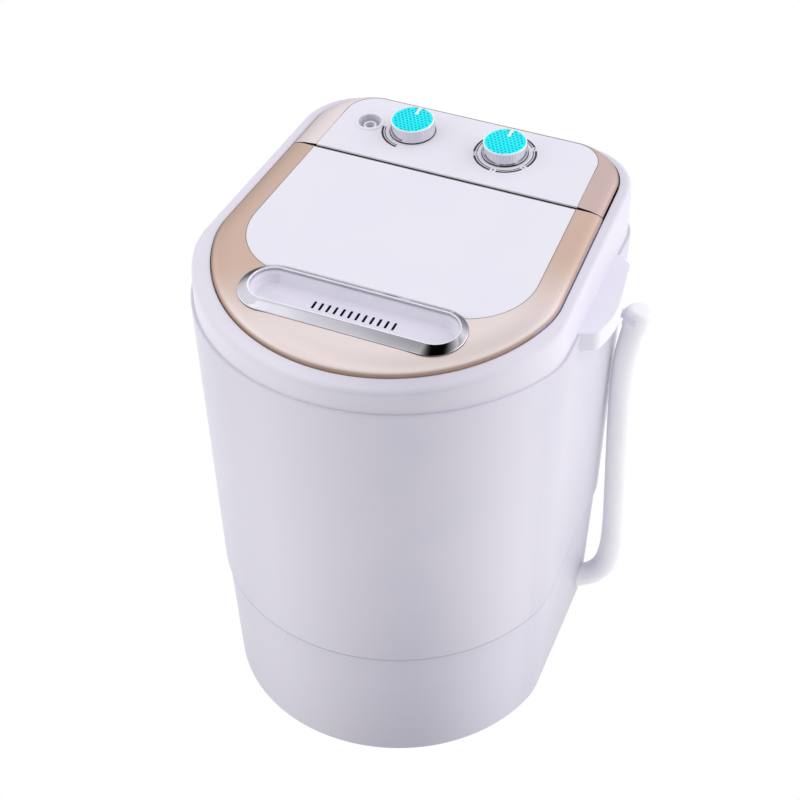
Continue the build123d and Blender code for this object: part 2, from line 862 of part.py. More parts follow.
with BuildPart() as drain_hose:
    with BuildLine(hose_plane) as hose_path:
        FilletPolyline(*hose_points, radius=hose_radii)
    with BuildSketch(hose_start_plane) as hose_section:
        Circle(hose_radius)
        Circle(hose_bore, mode=Mode.SUBTRACT)
    sweep(path=hose_path.line)
save(drain_hose, "drain_hose")
hose_section_area = math.pi * (hose_radius**2 - hose_bore**2)
hose_length = sum(edge.length for edge in hose_path.edges())
print("hose length", hose_length)
print("hose volume to section times length", drain_hose.part.volume / (hose_section_area * hose_length))

hose_end = hose_plane.from_local_coords(Vector(*hose_points[-1]))
hose_last = hose_plane.from_local_coords(Vector(*hose_points[-2]))
end_direction = (hose_end - hose_last).normalized()
end_plane = Plane(hose_end, x_dir=hose_plane.z_dir, z_dir=end_direction)

with BuildPart() as hose_cap:
    cap_section = disc(end_plane.offset(cap_end), 0, 0, cap_sleeve_radius)
    extrude(cap_section, amount=-cap_end - cap_sleeve_length)
    cap_rims = hose_cap.edges().filter_by(GeomType.CIRCLE).sort_by(Axis.Z)
    fillet(cap_rims[-1], cap_nose)
    fillet(cap_rims[0], cap_mouth_round)
    extrude(disc(end_plane, 0, 0, hose_radius), amount=-2 * cap_sleeve_length, mode=Mode.SUBTRACT)
save(hose_cap, "hose_cap")

clip_plane = end_plane.offset(-clip_drop)
clip_inner = cap_sleeve_radius + moving_gap
clip_outer = clip_inner + clip_thickness
clip_reach = 2 * clip_outer

with BuildPart() as hose_clip:
    extrude(disc(clip_plane, 0, 0, clip_outer), amount=clip_height / 2, both=True)
    arm_plane = Plane(clip_plane.origin, x_dir=(0, 1, 0), z_dir=(-1, 0, 0))
    with BuildSketch(arm_plane) as arm_sketch:
        Rectangle(clip_arm_width, clip_arm_height)
    extrude(amount=clip_arm_reach)
    extrude(disc(clip_plane, 0, 0, clip_inner), amount=clip_height * 2, both=True, mode=Mode.SUBTRACT)
    mouth = block(clip_plane, -clip_reach, clip_reach, clip_open, clip_reach)
    extrude(mouth, amount=clip_height * 2, both=True, mode=Mode.SUBTRACT)
    add(body_block.part, mode=Mode.SUBTRACT)
save(hose_clip, "hose_clip")

inlet_floor = crown_rise - inlet_depth
inlet_bottom = top(inlet_floor - inlet_wall).from_local_coords(Vector(inlet_x, inlet_y, 0))
spout_turn = inlet_bottom - top(0).z_dir * spout_drop
spout_end = Vector(spout_x, axis_y + opening_back - wall, spout_turn.Z)
spout_plane = Plane(inlet_bottom, x_dir=(1, 0, 0), z_dir=-top(0).z_dir)
spout_direction = (spout_end - spout_turn).normalized()
spout_mouth = Plane(spout_end, x_dir=(0, 0, 1), z_dir=spout_direction)

# Top rim: rounded outer band, recess for the lid and panel, collar over the tub and rear deck
with BuildPart() as rim_hollow:
    extrude(plan(level(seam_height), inset(rim_outline, wall)), amount=2 * lid_edge_rise)
    extrude(
        opening(level(seam_height), opening_radius + collar_wall, opening_back + collar_wall),
        amount=2 * lid_edge_rise,
        mode=Mode.SUBTRACT,
    )
    split(bisect_by=top(-recess_depth - shelf), keep=Keep.BOTTOM)

with BuildPart() as top_rim:
    extrude(plan(level(seam_height), rim_outline), amount=2 * lid_edge_rise)
    split(bisect_by=top(rim_rise), keep=Keep.BOTTOM)
    top_normal = Axis((0, 0, 0), (0, -math.sin(tilt), math.cos(tilt)))
    fillet(top_rim.faces().sort_by(top_normal)[-1].edges(), rim_round)
    recess = plan(top(-recess_depth), inset(lid_outline, -recess_gap))
    extrude(recess, amount=lid_edge_rise, mode=Mode.SUBTRACT)
    mouth_way = opening(level(seam_height), opening_radius, opening_back)
    extrude(mouth_way, amount=2 * lid_edge_rise, mode=Mode.SUBTRACT)
    add(rim_hollow.part, mode=Mode.SUBTRACT)
    flange_room = disc(level(seam_height), 0, 0, tub_flange_radius + moving_gap)
    extrude(flange_room, amount=tub_wall, mode=Mode.SUBTRACT)
    window = block(top(0), window_left, window_right, window_front, window_back)
    extrude(window, amount=-recess_depth - shelf, mode=Mode.SUBTRACT)
    with BuildSketch(level(tub_top)) as deck:
        add(plan(level(tub_top), inset(rim_outline, wall)))
        with Locations((0, opening_back - rim_front)):
            Rectangle(2 * rim_front, 2 * rim_front, mode=Mode.SUBTRACT)
        with Locations((harness_x, harness_y)):
            Circle(harness_hole, mode=Mode.SUBTRACT)
    extrude(amount=deck_thickness)
    spout_way = disc(spout_mouth, 0, 0, nozzle_radius + fit_gap)
    extrude(spout_way, amount=-spout_way_depth, mode=Mode.SUBTRACT)
save(top_rim, "top_rim")


# Side carrying grips at the top edge of the body, bowed outwards, with a finger gap behind the lip
def grip_sketch(side, lip):
    """Plan of the grip on one side, with its outer edges moved in by the thickness of a lip."""
    root = rim_side - grip_root
    with BuildSketch(level(seam_height - grip_drop)) as sketch:
        with BuildLine():
            Polyline(
                (side * root, grip_front + lip),
                (side * rim_side, grip_front + lip),
                (side * (rim_side + grip_front_stand - lip), grip_front + grip_front_run + lip),
                (side * (rim_side + grip_crest_stand - lip), grip_crest),
                (side * (rim_side + grip_tail_stand - lip), grip_back - grip_tail_run - lip),
                (side * rim_side, grip_back - lip),
                (side * root, grip_back - lip),
                (side * root, grip_front + lip),
            )
        make_face()
        fillet(sketch.vertices().sort_by(Axis.X, reverse=side > 0)[1:3], grip_corner)
        crest = (side * (rim_side + grip_crest_stand), grip_crest)
        fillet(sketch.vertices().sort_by_distance(crest)[0], grip_bow)
    return sketch.sketch


def draw_grip(side):
    """Grip on one side: a top plate out from the rim and a lip turned down from its edge."""
    with BuildPart() as grip:
        extrude(grip_sketch(side, 0), amount=grip_drop + grip_rise)
        fillet(grip.faces().sort_by(Axis.Z)[-1].edges(), grip_edge)
        extrude(grip_sketch(side, grip_lip), amount=grip_drop + grip_rise - grip_plate, mode=Mode.SUBTRACT)
        extrude(plan(level(seam_height), rim_outline), amount=lid_edge_rise, mode=Mode.SUBTRACT)
        add(body_block.part, mode=Mode.SUBTRACT)
    return grip


grip_left = draw_grip(-1)
save(grip_left, "grip_left")
grip_right = draw_grip(1)
save(grip_right, "grip_right")

# Lid frame and panel frame are the two sides of one crowned shell, cut at the hinge seam
seam_tool_size = 4 * hinge_radius


def barrel_cut():
    """Section of what is taken off behind the hinge so that the back edge turns about its axis."""
    with BuildSketch(top_side(-rim_side)) as sketch:
        with Locations((hinge_v + seam_tool_size / 2, hinge_w + seam_tool_size / 2)):
            Rectangle(seam_tool_size, seam_tool_size)
        with Locations((hinge_v, hinge_w)):
            Circle(hinge_radius, mode=Mode.SUBTRACT)
    return sketch.sketch


def top_shell(skirt):
    """Crowned shell over the whole top, with a skirt of the given depth."""
    with BuildPart() as shell:
        loft(crown_sections(lid_outline, 0), ruled=True)
        extrude(plan(top(0), lid_outline), amount=-skirt)
        inner = inset(lid_outline, skin)
        loft(crown_sections(inner, skin), ruled=True, mode=Mode.SUBTRACT)
        extrude(plan(top(-skin), inner), amount=skin - skirt, mode=Mode.SUBTRACT)
    return shell.part


def lid_plate_sketch(rise, gap):
    """White panel of the lid: leaning sides, large front corners, straight back past the seam."""
    plate = inset(lid_outline, crown_width + gap)
    back = seam + seam_tool_size
    front_x = plate.side - side_lean * panel_front
    back_x = plate.side - side_lean * back
    with BuildSketch(top(rise)) as sketch:
        with BuildLine():
            Polyline(
                (-front_x, panel_front + gap),
                (front_x, panel_front + gap),
                (back_x, back),
                (-back_x, back),
                (-front_x, panel_front + gap),
            )
        make_face()
        fillet(sketch.vertices().sort_by(Axis.Y)[:2], panel_front_corner - gap)
    return sketch.sketch


def hinge_sketch(x, radius):
    """Round sketch about the hinge axis in the cross plane at x."""
    return disc(top_side(x), hinge_v, hinge_w, radius)


seam_plane = Plane(top(0).origin + top(0).y_dir * seam, x_dir=(1, 0, 0), z_dir=top(0).y_dir)
panel_plane = seam_plane.offset(seam_gap)
knuckle_half = hinge_knuckle / 2
ear_outer = knuckle_half + moving_gap + hinge_ear_width
ear_inner = knuckle_half + moving_gap
ear_room = hinge_ear_radius + moving_gap
hinge_lip = hinge_x + ear_outer + hinge_lip_margin
arm_top = hinge_w - hinge_radius - moving_gap
bezel_seat = slot_sketch(bezel_bottom, bezel_centre, bezel_length + plate_gap, bezel_width + plate_gap)
flange_bottom = bezel_bottom - cup_flange_thickness
flange_length = cup_length + 2 * cup_flange
flange_width = cup_width + 2 * cup_flange
flange_seat = slot_sketch(flange_bottom, cup_centre, flange_length + plate_gap, flange_width + plate_gap)
cup_hole = slot_sketch(crown_rise, cup_centre, cup_length + fit_gap, cup_width + fit_gap)

with BuildPart() as ear_rooms:
    for side in (-1, 1):
        for inner_x in (side * hinge_x + ear_inner, side * hinge_x - ear_inner):
            outward = math.copysign(1, inner_x - side * hinge_x)
            room = hinge_sketch(inner_x - outward * moving_gap, ear_room)
            extrude(room, amount=outward * (hinge_ear_width + 2 * moving_gap))

with BuildPart() as lid_frame:
    add(top_shell(lid_skirt))
    lip = block(top(crown_rise), -hinge_lip, hinge_lip, hinge_v, seam)
    extrude(lip, amount=-hinge_radius)
    for side in (-1, 1):
        web = block(
            top(crown_rise),
            side * hinge_x - knuckle_half,
            side * hinge_x + knuckle_half,
            hinge_v - hinge_ear_radius,
            hinge_v,
        )
        extrude(web, amount=-hinge_radius)
        extrude(hinge_sketch(side * hinge_x - knuckle_half, hinge_ear_radius), amount=hinge_knuckle)
    split(bisect_by=seam_plane, keep=Keep.BOTTOM)
    extrude(barrel_cut(), amount=2 * rim_side, mode=Mode.SUBTRACT)
    skirt_trim = block(top(hinge_w - hinge_radius), -rim_side, rim_side, hinge_v - 2 * hinge_radius, seam)
    extrude(skirt_trim, amount=-2 * lid_skirt, mode=Mode.SUBTRACT)
    add(ear_rooms.part, mode=Mode.SUBTRACT)
    for side in (-1, 1):
        pin_hole = hinge_sketch(side * hinge_x - knuckle_half, hinge_pin_radius + running_clearance)
        extrude(pin_hole, amount=hinge_knuckle, mode=Mode.SUBTRACT)
    extrude(lid_plate_sketch(plate_bottom, 0), amount=skin, mode=Mode.SUBTRACT)
    extrude(bezel_seat, amount=skin, mode=Mode.SUBTRACT)
    extrude(flange_seat, amount=skin, mode=Mode.SUBTRACT)
    extrude(cup_hole, amount=-2 * skin, mode=Mode.SUBTRACT)
save(lid_frame, "lid_frame")

with BuildPart() as lid_panel:
    extrude(lid_plate_sketch(plate_bottom, plate_gap), amount=plate_thickness)
    split(bisect_by=seam_plane, keep=Keep.BOTTOM)
    extrude(barrel_cut(), amount=2 * rim_side, mode=Mode.SUBTRACT)
    add(ear_rooms.part, mode=Mode.SUBTRACT)
    extrude(bezel_seat, amount=skin, mode=Mode.SUBTRACT)
    extrude(flange_seat, amount=skin, mode=Mode.SUBTRACT)
    extrude(cup_hole, amount=-2 * skin, mode=Mode.SUBTRACT)
save(lid_panel, "lid_panel")

# Handle in the front of the lid: slotted cup held under a chrome bezel
with BuildPart() as handle_cup:
    extrude(slot_sketch(flange_bottom, cup_centre, flange_length, flange_width), amount=cup_flange_thickness)
    cup_floor = crown_rise - cup_depth
    cup_body = slot_sketch(flange_bottom, cup_centre, cup_length, cup_width)
    extrude(cup_body, amount=cup_floor - cup_wall - flange_bottom)
    loft(
        [
            slot_sketch(cup_floor, cup_centre, cup_floor_length, cup_floor_width),
            slot_sketch(bezel_bottom, cup_centre, cup_length - cup_wall, cup_width - cup_wall),
        ],
        ruled=True,
        mode=Mode.SUBTRACT,
    )
    with BuildSketch(top(cup_floor)) as cup_slots:
        with Locations((0, cup_centre)):
            with GridLocations(slot_pitch, slot_pitch, slot_count, 1):
                SlotOverall(slot_length, slot_width, rotation=90)
    extrude(amount=-cup_wall, mode=Mode.SUBTRACT)
save(handle_cup, "handle_cup")

with BuildPart() as handle_bezel:
    crest_length = cup_length + 2 * bezel_lip
    crest_width = cup_width + 2 * bezel_lip
    loft(
        [
            slot_sketch(bezel_bottom, bezel_centre, bezel_length, bezel_width),
            slot_sketch(crown_rise, bezel_centre, bezel_length, bezel_width),
        ],
        ruled=True,
    )
    loft(
        [
            slot_sketch(crown_rise, bezel_centre, bezel_length, bezel_width),
            slot_sketch(bezel_top, cup_centre, crest_length, crest_width),
        ],
        ruled=True,
    )
    extrude(slot_sketch(bezel_bottom, cup_centre, cup_length, cup_width), amount=skin, mode=Mode.SUBTRACT)
save(handle_bezel, "handle_bezel")

# Control panel frame with the hinge ears, and the fascia laid into it
with BuildPart() as panel_frame:
    add(top_shell(recess_depth))
    split(bisect_by=panel_plane, keep=Keep.TOP)
    front_wall = block(top(skin_bottom), -hinge_lip, hinge_lip, panel_face, panel_face + wall)
    extrude(front_wall, amount=-recess_depth)
    for side in (-1, 1):
        for start in (side * hinge_x - ear_outer, side * hinge_x + ear_inner):
            extrude(hinge_sketch(start, hinge_ear_radius), amount=hinge_ear_width)
            arm_front = hinge_v - hinge_ear_radius
            run = block(top_side(start), arm_front, panel_face + wall, arm_top - hinge_arm, arm_top)
            extrude(run, amount=hinge_ear_width)
            post = block(top_side(start), arm_front, hinge_v - hinge_arm_back, arm_top - hinge_arm, hinge_w)
            extrude(post, amount=hinge_ear_width)
            extrude(hinge_sketch(start, hinge_pin_radius), amount=hinge_ear_width, mode=Mode.SUBTRACT)
    fascia_outline = inset(lid_outline, crown_width, crown_width * crown_back_share)
    extrude(plan(top(plate_bottom), fascia_outline), amount=skin, mode=Mode.SUBTRACT)
    for x, y in ((timer_x, timer_y), (selector_x, selector_y)):
        extrude(disc(top(plate_bottom), x, y, knob_shaft_hole), amount=-skin, mode=Mode.SUBTRACT)
    inlet_hole = inlet_bore + inlet_wall + fit_gap
    extrude(disc(top(plate_bottom), inlet_x, inlet_y, inlet_hole), amount=-skin, mode=Mode.SUBTRACT)
save(panel_frame, "panel_frame")

with BuildPart() as control_fascia:
    extrude(plan(top(plate_bottom), inset(fascia_outline, plate_gap)), amount=plate_thickness)
    split(bisect_by=panel_plane, keep=Keep.TOP)
    for x, y in ((timer_x, timer_y), (selector_x, selector_y)):
        extrude(disc(top(plate_bottom), x, y, knob_shaft_hole), amount=skin, mode=Mode.SUBTRACT)
    extrude(disc(top(plate_bottom), inlet_x, inlet_y, inlet_hole), amount=skin, mode=Mode.SUBTRACT)
save(control_fascia, "control_fascia")

with BuildPart() as hinge_pins:
    for side in (-1, 1):
        extrude(hinge_sketch(side * hinge_x - ear_outer, hinge_pin_radius), amount=2 * ear_outer)
save(hinge_pins, "hinge_pins")

with BuildPart() as lid_buffers:
    buffer_circle = lid_front - buffer_radius
    with BuildSketch(top(-recess_depth)) as buffer_sketch:
        for angle in buffer_angles:
            buffer_x = buffer_circle * math.sin(math.radians(angle))
            buffer_y = -buffer_circle * math.cos(math.radians(angle))
            with Locations((buffer_x, buffer_y)):
                Circle(buffer_radius)
    extrude(amount=recess_depth - lid_skirt - fit_gap)
save(lid_buffers, "lid_buffers")

# Knobs: skirt, cap sunk in its top, pointer and the shaft into the control behind the fascia
knob_bottom = crown_rise + moving_gap
knob_top = knob_bottom + knob_height
cap_top = knob_top - cap_sink
cap_bottom = cap_top - cap_height


def draw_knob(x, y):
    """Skirt, cap, pointer and shaft of the knob at a place on the fascia."""
    with BuildPart() as knob_skirt:
        loft(
            [disc(top(knob_bottom), x, y, knob_base_radius), disc(top(knob_top), x, y, knob_top_radius)],
            ruled=True,
        )
        extrude(disc(top(cap_bottom), x, y, cap_radius), amount=knob_height, mode=Mode.SUBTRACT)
        room = cap_bottom - knob_bottom - knob_wall
        extrude(
            ring(top(knob_bottom), x, y, knob_top_radius - knob_wall, knob_hub_radius),
            amount=room,
            mode=Mode.SUBTRACT,
        )
        extrude(disc(top(knob_bottom), x, y, knob_shaft_radius), amount=room, mode=Mode.SUBTRACT)
    with BuildPart() as knob_cap:
        extrude(disc(top(cap_bottom), x, y, cap_radius), amount=cap_height)
        fillet(knob_cap.edges().sort_by(top_normal)[-1:], cap_height / 2)
    with BuildPart() as knob_pointer:
        pointer_middle = y + cap_radius - fit_gap - pointer_length / 2
        pointer_base = block(
            top(cap_top),
            x - pointer_width / 2,
            x + pointer_width / 2,
            pointer_middle - pointer_length / 2,
            pointer_middle + pointer_length / 2,
        )
        extrude(pointer_base, amount=pointer_height)
    with BuildPart() as knob_shaft:
        shaft_length = knob_bottom + room + knob_shaft_depth
        extrude(disc(top(-knob_shaft_depth), x, y, knob_shaft_radius), amount=shaft_length)
    return knob_skirt, knob_cap, knob_pointer, knob_shaft


def draw_control(x, y, side, depth):
    """Box of a control behind the panel, with the hole that its shaft turns in."""
    with BuildPart() as control:
        half = side / 2
        extrude(block(top(skin_bottom), x - half, x + half, y - half, y + half), amount=-depth)
        upright_edges = control.edges().filter_by(top(0), reverse=True)
        fillet(upright_edges, control_round)
        hole_depth = skin_bottom + knob_shaft_depth + control_shaft_gap
        hole_radius = knob_shaft_radius + running_clearance
        extrude(disc(top(skin_bottom), x, y, hole_radius), amount=-hole_depth, mode=Mode.SUBTRACT)
    return control


for name, x, y in (("timer", timer_x, timer_y), ("selector", selector_x, selector_y)):
    for piece, builder in zip(("skirt", "cap", "pointer", "shaft"), draw_knob(x, y)):
        save(builder, f"{name}_knob_{piece}")

wash_timer = draw_control(timer_x, timer_y, timer_side, timer_depth)
save(wash_timer, "wash_timer")
selector_switch = draw_control(selector_x, selector_y, selector_side, selector_depth)
save(selector_switch, "selector_switch")

# Water inlet cup in the fascia, with its nozzle and the spout that leads to the tub
with BuildPart() as water_inlet:
    inlet_outer = inlet_bore + inlet_wall
    inlet_base = top(inlet_floor - inlet_wall)
    extrude(disc(inlet_base, inlet_x, inlet_y, inlet_outer), amount=inlet_depth + inlet_wall)
    extrude(disc(top(crown_rise), inlet_x, inlet_y, inlet_outer + inlet_lip), amount=inlet_lip_height)
    extrude(disc(top(inlet_floor), inlet_x, inlet_y, inlet_bore), amount=2 * inlet_depth, mode=Mode.SUBTRACT)
    extrude(disc(top(inlet_floor), inlet_x, inlet_y, nozzle_radius), amount=inlet_depth - nozzle_drop)
    extrude(disc(inlet_base, inlet_x, inlet_y, nozzle_bore), amount=2 * inlet_depth, mode=Mode.SUBTRACT)
save(water_inlet, "water_inlet")

with BuildPart() as inlet_spout:
    with BuildLine() as spout_path:
        FilletPolyline(inlet_bottom, spout_turn, spout_end, radius=spout_bend)
    with BuildSketch(spout_plane) as spout_section:
        Circle(nozzle_radius)
        Circle(nozzle_bore, mode=Mode.SUBTRACT)
    sweep(path=spout_path.line)
save(inlet_spout, "inlet_spout")

# Wiring from the controls down behind the tub to the motor, and the gland of the mains lead
motor_side_y = motor_y + motor_radius + fit_gap
with BuildPart() as wiring_harness:
    with BuildLine() as harness_path:
        FilletPolyline(
            (harness_x, axis_y + harness_y, harness_top),
            (harness_x, axis_y + harness_y, harness_turn),
            (motor_x, axis_y + harness_y, harness_turn),
            (motor_x, axis_y + motor_side_y, harness_turn),
            radius=harness_bend,
        )
    with BuildSketch(level(harness_top)) as harness_section:
        with Locations((harness_x, harness_y)):
            Circle(harness_radius)
    sweep(path=harness_path.line)
save(wiring_harness, "wiring_harness")

with BuildPart() as cord_gland:
    gland_start = gland_plane.offset(base_back - gland_in)
    extrude(disc(gland_start, 0, 0, gland_flange), amount=gland_in + gland_out)
    loft(base_sections, ruled=True, mode=Mode.SUBTRACT)
    extrude(disc(gland_start, 0, 0, gland_radius), amount=gland_in + gland_out)
    extrude(disc(gland_start, 0, 0, gland_bore), amount=gland_in + gland_out, mode=Mode.SUBTRACT)
save(cord_gland, "cord_gland")
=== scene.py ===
import json
import math

import bmesh
import bpy
from mathutils import Matrix, Vector


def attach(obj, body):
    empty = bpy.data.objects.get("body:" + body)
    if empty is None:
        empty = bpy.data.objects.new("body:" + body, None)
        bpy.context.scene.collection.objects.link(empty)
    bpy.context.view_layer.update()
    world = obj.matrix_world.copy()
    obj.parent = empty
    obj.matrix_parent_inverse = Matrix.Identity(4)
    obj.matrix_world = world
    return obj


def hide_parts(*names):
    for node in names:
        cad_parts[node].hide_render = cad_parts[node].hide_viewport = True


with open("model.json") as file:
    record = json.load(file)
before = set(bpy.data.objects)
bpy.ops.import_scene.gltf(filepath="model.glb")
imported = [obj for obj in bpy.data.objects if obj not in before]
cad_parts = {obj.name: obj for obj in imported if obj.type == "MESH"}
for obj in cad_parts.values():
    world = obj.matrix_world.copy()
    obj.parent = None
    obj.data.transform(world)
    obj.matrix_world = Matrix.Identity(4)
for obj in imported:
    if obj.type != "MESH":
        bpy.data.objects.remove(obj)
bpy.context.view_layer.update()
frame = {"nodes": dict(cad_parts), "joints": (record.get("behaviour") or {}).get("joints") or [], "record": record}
nodes = frame["nodes"]
joints = {joint["name"]: joint for joint in frame["joints"]}
mm = 0.001
print("frame loaded:", len(nodes), "nodes")


def jointPlace(name):
    return Vector(joints[name]["pos_m"])


# the tilted top of the machine, read from the hinge and the knobs' axis
topSettings = {"hingeAhead": 102.4 * mm, "hingeRise": 1.1 * mm}
topNormal = -Vector(joints["timer_turn"]["axis"]).normalized()
topSide = Vector((1, 0, 0))
topAlong = topNormal.cross(topSide)
topOrigin = (jointPlace("lid_hinge") - topAlong * topSettings["hingeAhead"]
             - topNormal * topSettings["hingeRise"])


def facing(origin):
    turn = Matrix((topSide, topAlong, topNormal)).transposed().to_4x4()
    return Matrix.Translation(origin) @ turn


def onTop(across, along, rise):
    return topOrigin + topSide * across + topAlong * along + topNormal * rise


def inTop(point):
    away = point - topOrigin
    return Vector((away.dot(topSide), away.dot(topAlong), away.dot(topNormal)))


def plainObject(name, data):
    made = bpy.data.objects.new(name, data)
    bpy.context.scene.collection.objects.link(made)
    return made


# the photograph's own viewpoint: a long lens from above the right front corner
viewSettings = {
    "place": (0.555385, -1.237416, 1.465083),
    "right": (0.9125, 0.4090, -0.0029),
    "up": (-0.2619, 0.5898, 0.7639),
    "back": (0.3141, -0.6963, 0.6453),
    "lens": 81.09, "sensor": 36.0, "farthest": 30.0,
}
cameraData = bpy.data.cameras.new("photoCamera")
cameraData.lens = viewSettings["lens"]
cameraData.sensor_width = viewSettings["sensor"]
cameraData.clip_end = viewSettings["farthest"]
camera = plainObject("photoCamera", cameraData)
cameraTurn = Matrix((viewSettings["right"], viewSettings["up"], viewSettings["back"])).transposed()
camera.matrix_world = Matrix.Translation(viewSettings["place"]) @ cameraTurn.to_4x4()
bpy.context.scene.camera = camera
print("camera set")


# a hex colour in linear light, by the sRGB curve
def tint(code):
    parts = [int(code[i:i + 2], 16) / 255 for i in (1, 3, 5)]
    return tuple(p / 12.92 if p <= 0.04045 else ((p + 0.055) / 1.055) ** 2.4 for p in parts) + (1.0,)


def between(first, last, share):
    return first + (last - first) * share


def addNode(tree, kind, settings=None, values=None):
    node = tree.nodes.new(kind)
    for name, value in (settings or {}).items():
        setattr(node, name, value)
    for name, value in (values or {}).items():
        node.inputs[name].default_value = value
    return node


# one math node, fed by numbers or by other nodes
def calc(tree, operation, *terms):
    node = addNode(tree, "ShaderNodeMath", {"operation": operation})
    for socket, term in zip(node.inputs, terms):
        if isinstance(term, float):
            socket.default_value = term
        else:
            tree.links.new(term, socket)
    return node.outputs["Value"]


# where a place lies along a direction, as a number from first to last
def reading(tree, place, direction, low, high, first=0.0, last=1.0, kind="SMOOTHSTEP"):
    spot = addNode(tree, "ShaderNodeVectorMath", {"operation": "DOT_PRODUCT"}, {1: direction})
    ramp = addNode(tree, "ShaderNodeMapRange", {"interpolation_type": kind}, {
        "From Min": low, "From Max": high, "To Min": first, "To Max": last})
    tree.links.new(place, spot.inputs[0])
    tree.links.new(spot.outputs["Value"], ramp.inputs["Value"])
    return ramp.outputs["Result"]


def startMaterial(name, values):
    material = bpy.data.materials.new(name)
    material.use_nodes = True
    tree = material.node_tree
    shader = tree.nodes["Principled BSDF"]
    for socket, value in values.items():
        shader.inputs[socket].default_value = value
    place = addNode(tree, "ShaderNodeTexCoord").outputs["Object"]
    return material, tree, shader, place


# how large the patches of colour and gloss are, and how strongly the grain shows
coarseness = {
    "moulded": {"mottle": 60 * mm, "gloss": 25 * mm, "glossSpread": 0.05, "grain": 0.25},
    "metal": {"mottle": 30 * mm, "gloss": 12 * mm, "grain": 0.2},
    "mottleDetail": 3.0, "mottleLow": 0.35, "mottleHigh": 0.65, "glossDetail": 4.0, "grainDetail": 2.0,
}


def noisy(tree, place, size, detail):
    noise = addNode(tree, "ShaderNodeTexNoise", values={"Scale": 1 / size, "Detail": detail})
    tree.links.new(place, noise.inputs["Vector"])
    return noise.outputs["Fac"]


def mottle(tree, shader, place, size, pale, dark):
    ramp = addNode(tree, "ShaderNodeValToRGB")
    stops = ((coarseness["mottleLow"], dark), (coarseness["mottleHigh"], pale))
    for stop, (position, shade) in zip(ramp.color_ramp.elements, stops):
        stop.position = position
        stop.color = tint(shade)
    tree.links.new(noisy(tree, place, size, coarseness["mottleDetail"]), ramp.inputs["Fac"])
    tree.links.new(ramp.outputs["Color"], shader.inputs["Base Color"])


def unevenGloss(tree, shader, place, size, low, high):
    spread = addNode(tree, "ShaderNodeMapRange", values={"To Min": low, "To Max": high})
    tree.links.new(noisy(tree, place, size, coarseness["glossDetail"]), spread.inputs["Value"])
    tree.links.new(spread.outputs["Result"], shader.inputs["Roughness"])


def grain(tree, shader, place, size, strength, distance):
    bump = addNode(tree, "ShaderNodeBump", values={"Strength": strength, "Distance": distance})
    tree.links.new(noisy(tree, place, size, coarseness["grainDetail"]), bump.inputs["Height"])
    tree.links.new(bump.outputs["Normal"], shader.inputs["Normal"])


# the colour made so far runs over to another shade
def runOver(tree, shader, amount, shade):
    blend = addNode(tree, "ShaderNodeMix", {"data_type": "RGBA"}, {7: tint(shade)})
    tree.links.new(amount, blend.inputs[0])
    tree.links.new(shader.inputs["Base Color"].links[0].from_socket, blend.inputs[6])
    tree.links.new(blend.outputs[2], shader.inputs["Base Color"])


# painted shade: full below the first height, gone above the second
def shadeBelow(tree, shader, place, shade, low, high):
    runOver(tree, shader, reading(tree, place, (0, 0, 1), low, high, 1.0, 0.0), shade)


# painted sheen: the mouldings are painted brightest a third of the way in from either side, and greyer between,
# standing in for how the light falls across them; each stop is a place across the view in mm and how bright it is
# there
sheenSettings = {
    "across": Vector(viewSettings["right"]), "reach": 200 * mm,
    "shell": ((-175, 0.4), (-120, 0.9), (10, 0.0), (110, 0.85), (150, 0.3)),
    "rim": ((-130, 0.9), (10, 0.0), (130, 0.85), (195, 0.6)),
}


def sheenOver(tree, shader, place, shade, stops):
    reach = sheenSettings["reach"]
    ramp = addNode(tree, "ShaderNodeValToRGB")
    elements = ramp.color_ramp.elements
    ramp.color_ramp.interpolation = "EASE"
    elements.remove(elements[1])
    for i, (across, amount) in enumerate(stops):
        spot = across * mm / (2 * reach) + 0.5
        stop = elements.new(spot) if i else elements[0]
        stop.position = spot
        stop.color = (amount, amount, amount, 1.0)
    across = reading(tree, place, sheenSettings["across"], -reach, reach, kind="LINEAR")
    tree.links.new(across, ramp.inputs["Fac"])
    runOver(tree, shader, ramp.outputs["Color"], shade)


def moulded(name, pale, dark, rough, grainSize=0.5 * mm, grainDepth=0.008 * mm,
            extra=None, fade=None, sheen=None, shades=()):
    coarse = coarseness["moulded"]
    material, tree, shader, place = startMaterial(name, {"Specular IOR Level": 0.5, **(extra or {})})
    mottle(tree, shader, place, coarse["mottle"], pale, dark)
    if fade:
        shadeBelow(tree, shader, place, *fade)
    if sheen:
        sheenOver(tree, shader, place, *sheen)
    for shade in shades:
        shadeBelow(tree, shader, place, *shade)
    spread = coarse["glossSpread"]
    unevenGloss(tree, shader, place, coarse["gloss"], rough - spread, rough + spread)
    grain(tree, shader, place, grainSize, coarse["grain"], grainDepth)
    return material


def metal(name, pale, dark, low, high, grainSize, grainDepth, paintedReflection=None):
    coarse = coarseness["metal"]
    material, tree, shader, place = startMaterial(name, {"Metallic": 1.0})
    mottle(tree, shader, place, coarse["mottle"], pale, dark)
    # painted reflection: an attribute on the mesh darkens the colour where a dark reflection is painted
    if paintedReflection:
        attribute, shade = paintedReflection
        source = addNode(tree, "ShaderNodeAttribute", {"attribute_name": attribute})
        runOver(tree, shader, source.outputs["Fac"], shade)
    unevenGloss(tree, shader, place, coarse["gloss"], low, high)
    grain(tree, shader, place, grainSize, coarse["grain"], grainDepth)
    return material


shell = nodes["body_shell"]
shellFoot = min((shell.matrix_world @ v.co).z for v in shell.data.vertices)
finishes = {}
# bright white polypropylene with a cool lilac cast, satin, finely grained
finishes["white_plastic"] = moulded("whitePolypropylene", "#EEEDF4", "#ECEBF3", 0.36)
